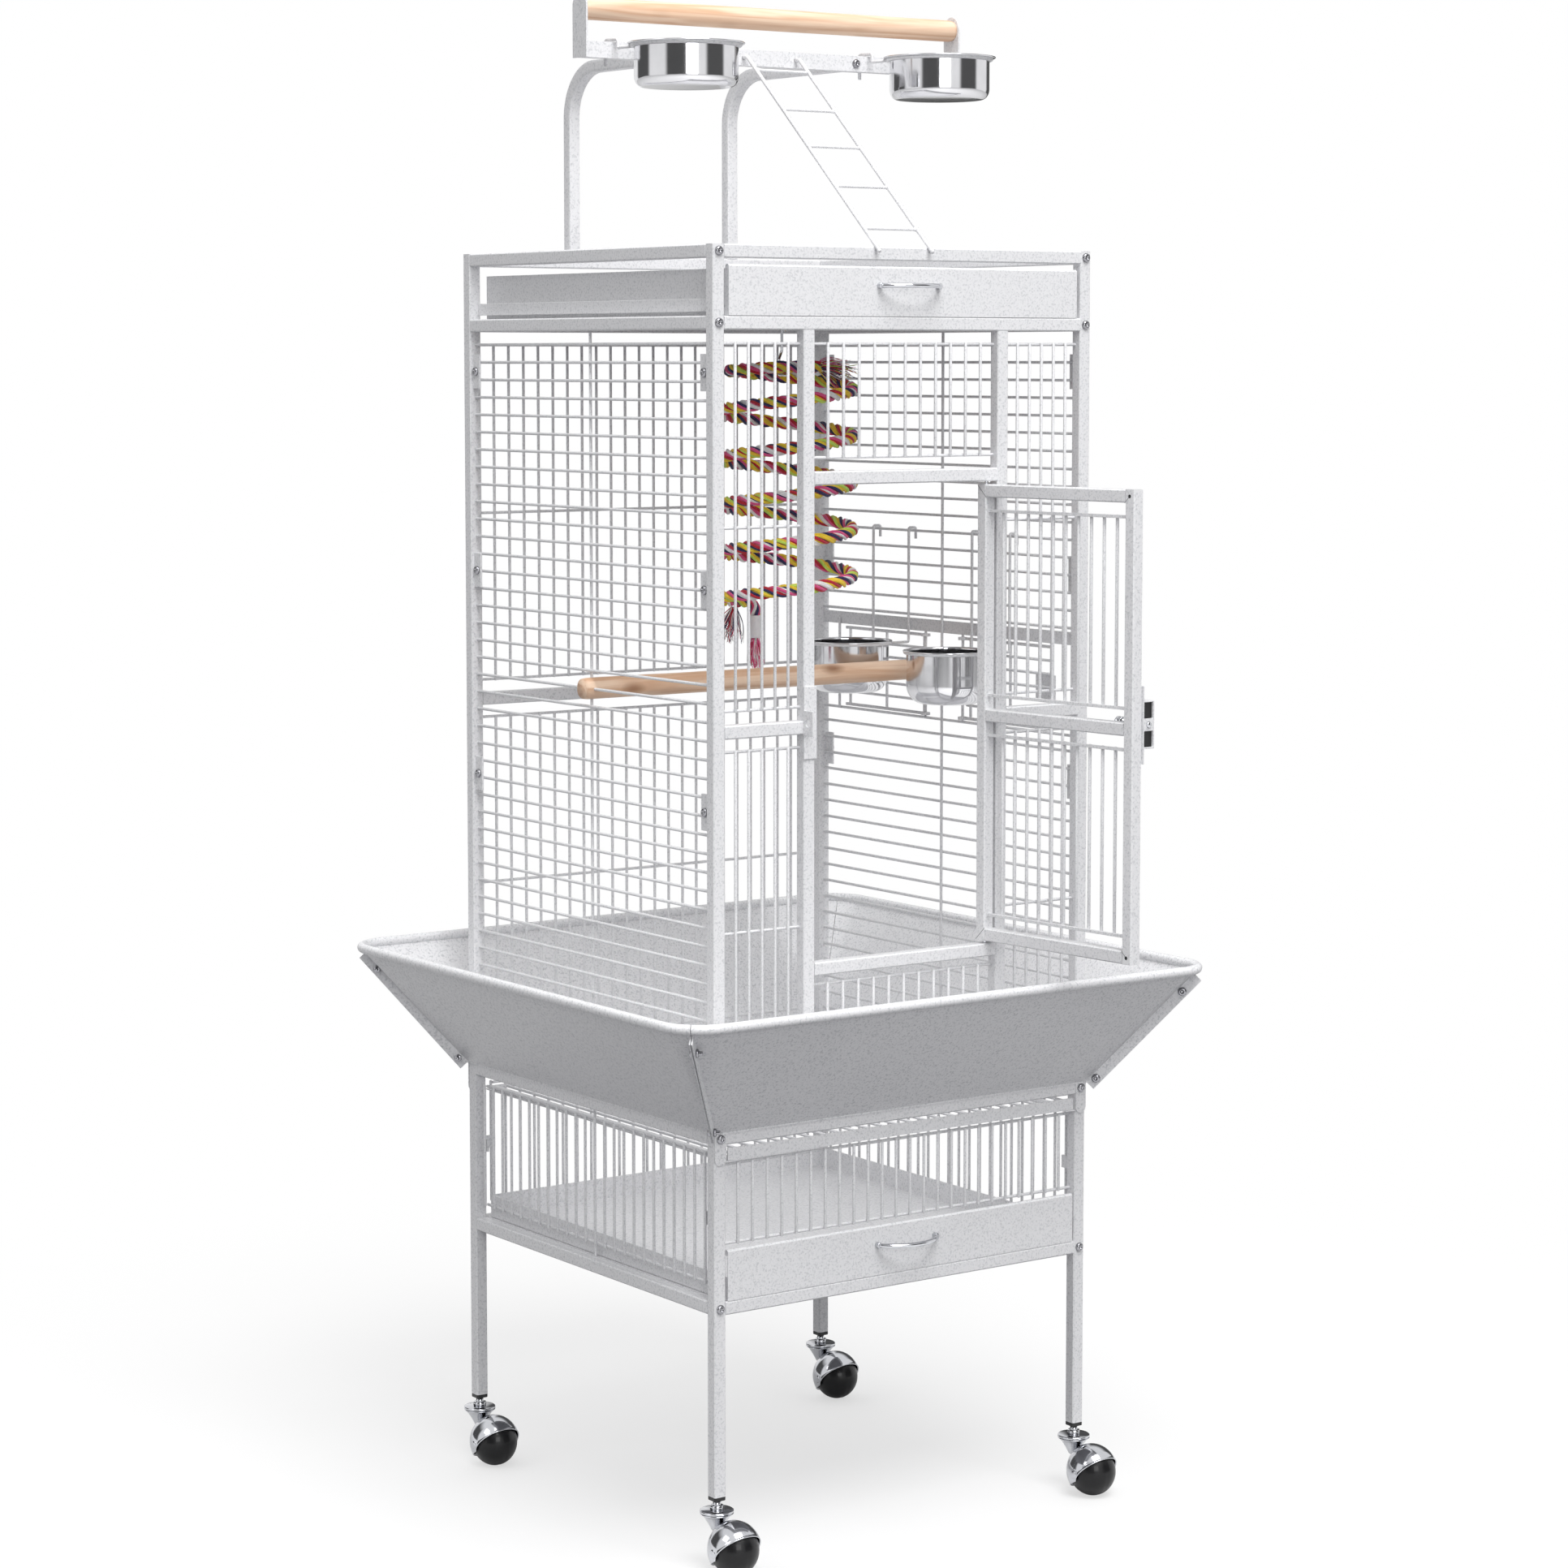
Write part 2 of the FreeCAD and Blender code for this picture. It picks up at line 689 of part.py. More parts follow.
def skirt_shape():
    """The front skirt; the others are the same piece turned about the cage."""
    face = OUT_Y
    run, rise = skirt_run()
    foot = WAIST_TOP_Z - SKIRT_FOOT
    rim = WAIST_TOP_Z + rise
    lift = SHEET * math.sqrt(run * run + rise * rise) / run
    # Points of the rim from the right seam round the corner to the straight
    hub = face + run - RIM_CORNER_R
    corner = []
    for i in range(RIM_CORNER_COUNT + 1):
        t = math.pi / 4 * (1 + i / RIM_CORNER_COUNT)
        corner.append(Vector(hub + RIM_CORNER_R * math.cos(t), -hub - RIM_CORNER_R * math.sin(t), rim))
    other = [Vector(-p.x, p.y, p.z) for p in corner]
    foot_right = Vector(face, -face, WAIST_TOP_Z)
    foot_left = Vector(-face, -face, WAIST_TOP_Z)
    panels = [[foot_left, foot_right, corner[-1], other[-1]]]
    for start, line in ((foot_right, corner), (foot_left, other)):
        for i in range(RIM_CORNER_COUNT):
            panels.append([start, line[i], line[i + 1]])
    body = box(-face - SHEET, face + SHEET, -face - SHEET, -face, foot, WAIST_TOP_Z)
    for panel in panels:
        sheet = Part.Face(Part.makePolygon(panel + panel[:1])).extrude(Vector(0, 0, -lift))
        body = body.fuse(sheet)
    path = corner + other[::-1]
    roll_r = around(RIM_ROLL / 2, ROD_SIDE_COUNT)
    section = ring_wire(path[0], path[1].sub(path[0]), roll_r, ROD_SIDE_COUNT)
    body = body.fuse(Part.makePolygon(path).makePipeShell([section], True, False, 1))
    # Both ends are cut on the mitre with the neighbours
    far = RIM_HALF * 2
    seam = SKIRT_SEAM / math.sqrt(2)
    points = [Vector(-seam, 0, foot), Vector(far - seam, -far, foot), Vector(far, 0, foot)]
    right = Part.Face(Part.makePolygon(points + points[:1])).extrude(Vector(0, 0, rise + RIM_ROLL * 2))
    left = right.mirror(Vector(0, 0, 0), Vector(1, 0, 0))
    body = body.cut([right, left])
    # Fins stand out back to back along the seams and carry the bolts
    inward = Vector(-1, -1, 0).normalize()
    start = inward * (SKIRT_SEAM / 2)
    stand = fin_normal() * SKIRT_FIN
    low = skirt_seam(0).add(start)
    high = skirt_seam(FIN_END_SHARE).add(start)
    points = [low, high, high.add(stand), low.add(stand)]
    fin = Part.Face(Part.makePolygon(points + points[:1])).extrude(inward * SHEET)
    hole_d = around(SKIRT_BOLT_D + PIN_FIT * 2, ROD_SIDE_COUNT)
    for share in SKIRT_BOLT_SHARES:
        at = skirt_seam(share).add(fin_normal() * (SKIRT_FIN / 2)).add(inward * -SHEET)
        fin = fin.cut(stud(at, inward, hole_d, SHEET * 4, ROD_SIDE_COUNT))
    body = body.fuse([fin, fin.mirror(Vector(0, 0, 0), Vector(1, 0, 0))])
    return body.removeSplitter()


def skirt_tab(side):
    """Tab of the front and back skirts that is bolted to a post."""
    x0 = side * OUT_X
    x1 = side * IN_X
    low = WAIST_TOP_Z - SKIRT_FOOT - SKIRT_TAB_H + TUBE / 2
    plate = box(x0, x1, -OUT_Y, -OUT_Y - SHEET, low, WAIST_TOP_Z - SKIRT_FOOT)
    tip = stud(Vector(side * PX, -OUT_Y, low), Vector(0, -1, 0), TUBE, SHEET, BOWL_SIDE_COUNT)
    return plate.fuse(tip)


def build_skirts():
    for i, name in enumerate(("front", "right", "back", "left")):
        body = skirt_shape()
        if name in ("front", "back"):
            body = body.fuse([skirt_tab(-1), skirt_tab(1)]).removeSplitter()
        body.rotate(Vector(0, 0, 0), Vector(0, 0, 1), i * 90)
        save("skirt_" + name, body)


def skirt_bolts():
    """Bolts across the fins at the four corners, a nut on each."""
    solids = []
    across = Vector(1, 1, 0).normalize()
    for share in SKIRT_BOLT_SHARES:
        middle = skirt_seam(share).add(fin_normal() * (SKIRT_FIN / 2))
        face = middle.add(across * -(SKIRT_SEAM / 2 + SHEET))
        other = middle.add(across * (SKIRT_SEAM / 2 + SHEET))
        head = bolt_head(face, across * -1)
        shank = stud(face, across, SKIRT_BOLT_D, SKIRT_BOLT_L, ROD_SIDE_COUNT)
        nut = stud(other, across, SKIRT_NUT_D, SKIRT_NUT_H, THIN_SIDE_COUNT)
        solids.append(head.fuse([shank, nut]).removeSplitter())
    every = []
    for i in range(4):
        for solid in solids:
            copy = solid.copy()
            copy.rotate(Vector(0, 0, 0), Vector(0, 0, 1), i * 90)
            every.append(copy)
    return every


def build_bolts():
    solids = skirt_bolts()
    for x in (-PX, PX):
        for turn in (-1, 1):
            for z in (LOWER_Z, WAIST_Z, MID_Z, TOP_Z):
                stand = SHEET if z == WAIST_Z else 0
                y = turn * (OUT_Y + stand)
                solids.append(bolt_head(Vector(x, y, z), Vector(0, turn, 0)))
    for side in (-1, 1):
        at = Vector(side * PLAY_X, -BAR_W / 2, at_rise(PLAY_TOP_RISE))
        solids.append(bolt_head(at, Vector(0, -1, 0)))
    # Bolts through the plates of the side panels
    for side in (-1, 1):
        x = side * (PX + WIRE / 2 + TAB_WALL)
        for end in (-1, 1):
            y = end * (IN_Y - TAB_SIZE / 2)
            for rise in TAB_RISES:
                solids.append(bolt_head(Vector(x, y, at_rise(rise)), Vector(side, 0, 0)))
    save("frame_bolts", solids)


def tray(z0, half, back, height, wall_share, front):
    """Open tray with a tall front panel that ends in a lip."""
    wall = SHEET
    low = z0
    wall_z = z0 + height * wall_share
    solids = [box(-half, half, front, back, low, low + wall)]
    for side in (-1, 1):
        solids.append(box(side * half, side * (half - wall), front, back, low, wall_z))
    solids.append(box(-half, half, back - wall, back, low, wall_z))
    solids.append(box(-half, half, front, front + wall, low, low + height))
    at = Vector(-half, front + TRAY_LIP / 2, low + height)
    roll = stud(at, Vector(1, 0, 0), around(TRAY_LIP, ROD_SIDE_COUNT), half * 2, ROD_SIDE_COUNT)
    body = solids[0].fuse(solids[1:] + [roll])
    return body.removeSplitter()


def handle(x_middle, y_face, z):
    """Bow handle of round bar on a tray front."""
    half = HANDLE_SPAN / 2 - HANDLE_D / 2
    tip = y_face - HANDLE_REACH
    points = [
        Vector(x_middle - half, y_face, z), Vector(x_middle - half, tip, z),
        Vector(x_middle + half, tip, z), Vector(x_middle + half, y_face, z),
    ]
    return bent_rod(points, HANDLE_D, HANDLE_D * 2, ROD_SIDE_COUNT)


def build_trays():
    front = -OUT_Y
    back = IN_Y - TRAY_BACK_GAP
    low = LOWER_Z + TUBE / 2 + TRAY_REST_GAP
    save("bottom_tray", tray(low, TRAY_HALF, back, BOTTOM_TRAY_H, BOTTOM_TRAY_WALL_SHARE, front))
    save("bottom_tray_handle", handle(0, front, low + BOTTOM_TRAY_H * HANDLE_HEIGHT_SHARE))
    low = MID_Z + TUBE / 2 + TRAY_REST_GAP
    save("top_tray", tray(low, TOP_TRAY_HALF, back, TOP_TRAY_H, TOP_TRAY_WALL_SHARE, front))
    save("top_tray_handle", handle(0, front, low + TOP_TRAY_H * HANDLE_HEIGHT_SHARE))
    # Wire grate over the bottom tray
    low = WAIST_Z - TUBE / 2 - TRAY_REST_GAP - GRATE_FRONT_H - WIRE
    strip = box(-TRAY_HALF, TRAY_HALF, front, front + SHEET, low, low + GRATE_FRONT_H)
    edge = TRAY_HALF
    inner = edge - GRATE_RIM
    pieces = [strip]
    for side in (-1, 1):
        pieces.append(box(side * edge, side * inner, front + SHEET, back, low, low + WIRE))
    for end in (front + SHEET, back - GRATE_RIM):
        pieces.append(box(-inner, inner, end, end + GRATE_RIM, low, low + WIRE))
    count = round(edge * 2 / GRATE_PITCH)
    inner0 = front + SHEET + GRATE_RIM
    inner1 = back - GRATE_RIM
    for x in spread(-edge, edge, count + 1)[1:-1]:
        pieces.append(wire("y", inner0, inner1, x, low + WIRE / 2))
    save("grate", pieces)
    # Runners for the tray and the grate
    runners = []
    shelf = LOWER_Z + TUBE / 2
    upper = low - TRAY_REST_GAP
    guard = MID_Z + TUBE / 2 + GUARD_LOW_GAP
    for side in (-1, 1):
        outer = side * IN_X
        inner = side * (IN_X - RUNNER_WIDTH)
        runners.append(box(outer, inner, -IN_Y, IN_Y, shelf - RUNNER_WALL, shelf))
        runners.append(box(outer, inner, -OUT_Y, IN_Y, upper - RUNNER_WALL, upper))
        # Strip beside the top tray, between the posts
        face = side * (IN_X + TUBE_CORNER)
        runners.append(box(face, face + side * RUNNER_WALL, -IN_Y, IN_Y, guard, guard + GUARD_H))
    save("tray_runners", runners)


def build_door():
    pin_x = pivot_x()
    pivot = Vector(pin_x, -PY, 0)
    opening = STILE_X - TUBE / 2
    half = opening - DOOR_GAP
    low = SILL_Z + TUBE / 2 + DOOR_TOP_GAP
    high = HEADER_Z - TUBE / 2 - DOOR_TOP_GAP
    t = DOOR_TUBE
    frame = []
    for side in (-1, 1):
        frame.append(tube("z", low, high, side * (half - t / 2), -PY, t))
    for z in (low + t / 2, BELT_Z, high - t / 2):
        frame.append(tube("x", -half + t, half - t, -PY, z, t))
    wires = []
    inner = half - t
    places = spread(-inner, inner, DOOR_WIRE_COUNT + 2)[1:-1]
    spans = (
        (low + t + DOOR_SECTION_GAP, BELT_Z - t / 2 - DOOR_SECTION_GAP),
        (BELT_Z + t / 2 + DOOR_SECTION_GAP, high - t - DOOR_SECTION_GAP),
    )
    for z0, z1 in spans:
        wires += section(-inner, inner, (z0, z1), places, -PY, z0, z1)
    pins = []
    for z, far in ((low, SILL_Z - TUBE / 2 + PIN_END_GAP), (high, HEADER_Z + TUBE / 2 - PIN_END_GAP)):
        start = min(z, far)
        pins.append(Part.makeCylinder(PIN_D / 2, abs(far - z), Vector(pin_x, -PY, start)))
    # Latch case on the free stile, with a sliding bolt and its knob
    case_x = -half + t / 2
    face = -PY - t / 2
    z = at_rise(LATCH_RISE)
    x0 = case_x - LATCH_W / 2
    x1 = case_x + LATCH_W / 2
    outer = box(x0, x1, face, face - LATCH_PROUD, z - LATCH_WINDOW_H / 2, z + LATCH_WINDOW_H / 2)
    hollow = box(x0, x1, face, face - LATCH_PROUD + LATCH_WALL, z - LATCH_WINDOW_H / 2 + LATCH_WALL,
                 z + LATCH_WINDOW_H / 2 - LATCH_WALL)
    case = outer.cut(hollow)
    flat = box(x0, x1, face, face - LATCH_WALL, z - LATCH_H / 2, z + LATCH_H / 2)
    case = case.fuse(flat)
    bolt_y = face - LATCH_WALL - LATCH_BOLT_D
    for wall_x in (x0, x1):
        side = -1 if wall_x == x0 else 1
        case = case.fuse(box(wall_x, wall_x - side * LATCH_WALL, face, face - LATCH_PROUD,
                             z - LATCH_BOLT_D, z + LATCH_BOLT_D))
    across = Vector(1, 0, 0)
    hole_d = around(LATCH_BOLT_D + LATCH_FIT * 2, ROD_SIDE_COUNT)
    bore = stud(Vector(x0 - LATCH_W / 2, bolt_y, z), across, hole_d, LATCH_W * 2, ROD_SIDE_COUNT)
    case = case.cut(bore).removeSplitter()
    tip = x0 - LATCH_WALL
    start = x1 + LATCH_TRAVEL + LATCH_WALL
    shaft = stud(Vector(tip, bolt_y, z), across, LATCH_BOLT_D, start - tip, ROD_SIDE_COUNT)
    knob = stud(Vector(start, bolt_y, z), across, LATCH_KNOB_D, LATCH_KNOB_L, HOOD_SIDE_COUNT)
    bolt = shaft.fuse(knob).removeSplitter()
    groups = {
        "door_frame": frame, "door_wires": wires, "door_pins": pins,
        "door_latch_case": [case], "door_latch_bolt": [bolt],
    }
    for name, solids in groups.items():
        for solid in solids:
            solid.rotate(pivot, Vector(0, 0, 1), DOOR_OPEN_DEG)
        save(name, solids)
    # Strike plate on the left stile of the front frame
    x = -STILE_X
    y = -OUT_Y
    edge = x - STRIKE_W / 2
    plate = box(edge, edge + STRIKE_W, y, y - LATCH_WALL, z - STRIKE_H / 2, z + STRIKE_H / 2)
    reach = y - STRIKE_PROUD - LATCH_BOLT_D
    low = z - STRIKE_TONGUE_H / 2
    arm = box(edge, edge + LATCH_WALL, y, reach, low, low + STRIKE_TONGUE_H)
    hole_d = around(LATCH_BOLT_D + STRIKE_FIT * 2, ROD_SIDE_COUNT)
    arm = arm.cut(stud(Vector(x - STRIKE_W, bolt_y, z), across, hole_d, STRIKE_W * 2, ROD_SIDE_COUNT))
    strike = plate.fuse(arm)
    save("strike_plate", strike.removeSplitter())


def cup(x, y, top, diameter, rim_d, height, shares):
    """Round bowl with a rounded foot and a rim that rests on its ring."""
    base_share, round_share = shares
    r = diameter / 2
    low = top - height
    outer = []
    inner = []
    for i in range(BEND_STEP_COUNT + 1):
        t = i / BEND_STEP_COUNT * math.pi / 2
        out = r * (base_share + (1 - base_share) * math.sin(t))
        up = height * round_share * (1 - math.cos(t))
        outer.append((out, low + up))
        inner.append((out - CUP_WALL * math.sin(t), low + up + CUP_WALL * math.cos(t)))
    rim = [(r, top - CUP_WALL), (rim_d / 2, top - CUP_WALL), (rim_d / 2, top), (r - CUP_WALL, top)]
    profile = [(0, low)] + outer + rim + inner[::-1] + [(0, low + CUP_WALL)]
    return lathe(profile, Vector(x, y, 0), Vector(0, 0, 1), BOWL_SIDE_COUNT)


def hoop(centre, radius, diameter):
    """Level ring of wire round a bowl."""
    outline = []
    for i in range(THIN_SIDE_COUNT):
        t = i / THIN_SIDE_COUNT * math.pi * 2
        outline.append((radius + diameter / 2 * math.cos(t), diameter / 2 * math.sin(t)))
    return lathe(outline, centre, Vector(0, 0, 1), BOWL_SIDE_COUNT)


def build_feeders():
    low_feed = at_rise(FEED_LOW_RISE)
    high_feed = at_rise(FEED_HIGH_RISE)
    for name, side in (("front", -1), ("back", 1)):
        # Wire door hung on the round upright beside the opening
        axis_y = side * FEED_INNER
        start = axis_y + side * (WIRE / 2 + HINGE_LOOP_GAP + WIRE)
        end = side * (FEED_OUTER - FEED_DOOR_GAP - WIRE)
        z0 = low_feed + FEED_DOOR_GAP
        z1 = high_feed - FEED_DOOR_GAP
        rows = spread(z0, z1, FEED_DOOR_WIRE_COUNT + 2)
        x = PX + WIRE / 2
        solids = [wire("y", start, end, x, z) for z in rows]
        for y in (start + side * WIRE, (start + end) / 2, end - side * WIRE):
            solids.append(wire("z", z0 - WIRE / 2, z1 + WIRE / 2, x + WIRE, y))
        for z in (z0, z1):
            inner_r = WIRE / 2 + HINGE_LOOP_GAP
            low = Vector(PX, axis_y, z - WIRE / 2)
            loop = stud(low, Vector(0, 0, 1), (inner_r + WIRE) * 2, WIRE, HOOD_SIDE_COUNT)
            loop = loop.cut(Part.makeCylinder(inner_r, WIRE * 2, Vector(PX, axis_y, z - WIRE)))
            solids.append(loop)
        zm = (z0 + z1) / 2
        latch = box(x + WIRE * 3 / 2, x + WIRE * 3 / 2 + TAB_WALL, end - side * FEED_LATCH_W, end,
                    zm - FEED_LATCH_H / 2, zm + FEED_LATCH_H / 2)
        solids.append(latch)
        save("feeder_door_" + name, solids)
        # Wire holder: ring for the bowl, two legs hooked over a panel wire
        cy = side * CUP_PITCH
        cx = PX - CUP_RING_IN
        ring_z = at_rise(CUP_RING_RISE)
        ring_r = CUP_D / 2 + RING_FIT + CUP_WIRE_D / 2
        ring = hoop(Vector(cx, cy, ring_z - CUP_WIRE_D / 2 - CUP_WALL), ring_r, CUP_WIRE_D)
        parts = [ring]
        row = min(side_rows(), key=lambda z: abs(z - at_rise(CUP_LEG_TOP_RISE)))
        leg_top = row + WIRE / 2 + CUP_WIRE_D / 2 + RING_FIT
        leg_x = PX - WIRE * 2 - CUP_WIRE_D / 2
        for end_side in (-1, 1):
            ly = cy + end_side * CUP_LEG_SPAN / 2
            dx = math.sqrt(ring_r ** 2 - (CUP_LEG_SPAN / 2) ** 2)
            zr = ring_z - CUP_WIRE_D / 2 - CUP_WALL
            hook_x = PX + WIRE / 2 + CUP_WIRE_D / 2 + RING_FIT
            points = [
                Vector(cx + dx, ly, zr), Vector(leg_x, ly, zr),
                Vector(leg_x, ly, leg_top), Vector(hook_x, ly, leg_top),
                Vector(hook_x, ly, leg_top - CUP_WIRE_D * 4),
            ]
            parts.append(bent_rod(points, CUP_WIRE_D, CUP_WIRE_D * HOOK_BEND_SHARE))
        save("cup_holder_" + name, parts[0].fuse(parts[1:]))
        shares = (CUP_BASE_SHARE, CUP_ROUND_SHARE)
        save("cup_" + name, cup(cx, cy, ring_z, CUP_D, CUP_RIM_D, CUP_H, shares))


def build_play_top():
    z = at_rise(PLAY_TOP_RISE)
    uprights = []
    bar_back = BAR_W / 2
    for side in (-1, 1):
        x = side * PLAY_X
        h = TUBE / 2
        c = h - TUBE_CORNER
        corners = [(h, c), (c, h), (-c, h), (-h, c), (-h, -c), (-c, -h), (c, -h), (h, -c)]
        points = [Vector(x + u, PY + v, POST_TOP_Z) for u, v in corners]
        profile = Part.makePolygon(points + points[:1])
        turns = [Vector(x, PY, POST_TOP_Z), Vector(x, PY, z), Vector(x, bar_back, z)]
        path = Part.makePolygon(bent_line(turns, PLAY_BEND_R, UPRIGHT_STEP_COUNT))
        uprights.append(path.makePipeShell([profile], True, False, 1))
    save("play_uprights", uprights)
    bar = box(-BAR_HALF, BAR_HALF, -BAR_W / 2, BAR_W / 2, z - BAR_H / 2, z + BAR_H / 2)
    for side in (-1, 1):
        mouth = Vector(LADDER_X + side * LADDER_HALF, -BAR_W, z)
        depth = BAR_W / 2 + LADDER_SINK + LADDER_HOLE_FIT
        hole_d = around(LADDER_WIRE + LADDER_HOLE_FIT * 2, ROD_SIDE_COUNT)
        bar = bar.cut(stud(mouth, Vector(0, 1, 0), hole_d, depth, ROD_SIDE_COUNT))
    plates = []
    plate_top = at_rise(PLATE_TOP_RISE)
    for side in (-1, 1):
        x = side * BAR_HALF
        straight = plate_top - PLATE_W / 2
        plate = box(x, x + side * PLATE_WALL, -PLATE_W / 2, PLATE_W / 2, z - BAR_H / 2, straight)
        crown = stud(Vector(x, 0, straight), Vector(side, 0, 0), PLATE_W, PLATE_WALL, BOWL_SIDE_COUNT)
        plates.append(plate.fuse(crown).removeSplitter())
    save("play_crossbar", [bar] + plates)
    dowel_z = at_rise(DOWEL_RISE)
    dowel = rod(Vector(-BAR_HALF, 0, dowel_z), Vector(BAR_HALF, 0, dowel_z), DOWEL_D)
    save("play_dowel", dowel)
    ring_z = at_rise(TOP_RING_RISE)
    for name, side in (("left", -1), ("right", 1)):
        cx = side * TOP_RING_X
        cy = -TOP_RING_Y
        ring_r = TOP_BOWL_D / 2 + RING_FIT + TOP_RING_WIRE / 2
        parts = [hoop(Vector(cx, cy, ring_z), ring_r, TOP_RING_WIRE)]
        over = z + BAR_H / 2 + TOP_RING_WIRE / 2 + TOP_HOOK_GAP
        behind = BAR_W / 2 + TOP_RING_WIRE / 2 + TOP_HOOK_GAP
        for end in (-1, 1):
            lx = cx + end * TOP_RING_LEG
            dy = math.sqrt(ring_r ** 2 - TOP_RING_LEG ** 2)
            points = [
                Vector(lx, cy + dy, ring_z), Vector(lx, -BAR_W, ring_z),
                Vector(lx, -BAR_W, over), Vector(lx, behind, over),
                Vector(lx, behind, over - TOP_RING_PIN),
            ]
            parts.append(bent_rod(points, TOP_RING_WIRE, TOP_RING_WIRE * HOOK_BEND_SHARE))
        save("top_ring_" + name, parts[0].fuse(parts[1:]))
        top = ring_z + TOP_RING_WIRE / 2 + CUP_WALL
        shares = (TOP_BOWL_BASE_SHARE, TOP_BOWL_ROUND_SHARE)
        save("top_bowl_" + name, cup(cx, cy, top, TOP_BOWL_D, TOP_BOWL_RIM_D, TOP_BOWL_H, shares))
    # Ladder hooked into the crossbar and resting on the front top rail
    r = LADDER_WIRE / 2
    head_y = -BAR_W / 2 - LADDER_BEND
    edge_y = -OUT_Y + TUBE_CORNER / 2
    edge_z = POST_TOP_Z - TUBE_CORNER / 2
    gap = math.hypot(edge_y - head_y, edge_z - z)
    angle = math.atan2(edge_z - z, edge_y - head_y) - math.asin((r + RING_FIT) / gap)
    reach = gap + LADDER_FOOT_REACH
    head = Vector(0, head_y, z)
    foot = head.add(Vector(0, math.cos(angle), math.sin(angle)) * reach)
    rails = []
    for side in (-1, 1):
        x = Vector(LADDER_X + side * LADDER_HALF, 0, 0)
        tip = Vector(0, -BAR_W / 2 + LADDER_SINK, z)
        line = [tip.add(x), head.add(x), foot.add(x)]
        rails.append(bent_rod(line, LADDER_WIRE, LADDER_WIRE, ROD_SIDE_COUNT))
    body = rails[0].fuse(rails[1])
    for share in LADDER_RUNG_SHARES:
        point = head.add(foot.sub(head) * share)
        a = point.add(Vector(LADDER_X - LADDER_HALF, 0, 0))
        b = point.add(Vector(LADDER_X + LADDER_HALF, 0, 0))
        body = body.fuse(stud(a, b.sub(a), LADDER_RUNG_D, a.distanceToPoint(b), THIN_SIDE_COUNT))
    save("ladder", body)


def cone(first, last):
    """Outline of a cut cone as long as a tuft."""
    return [(0, 0), (first, 0), (last, TUFT_L), (0, TUFT_L)]


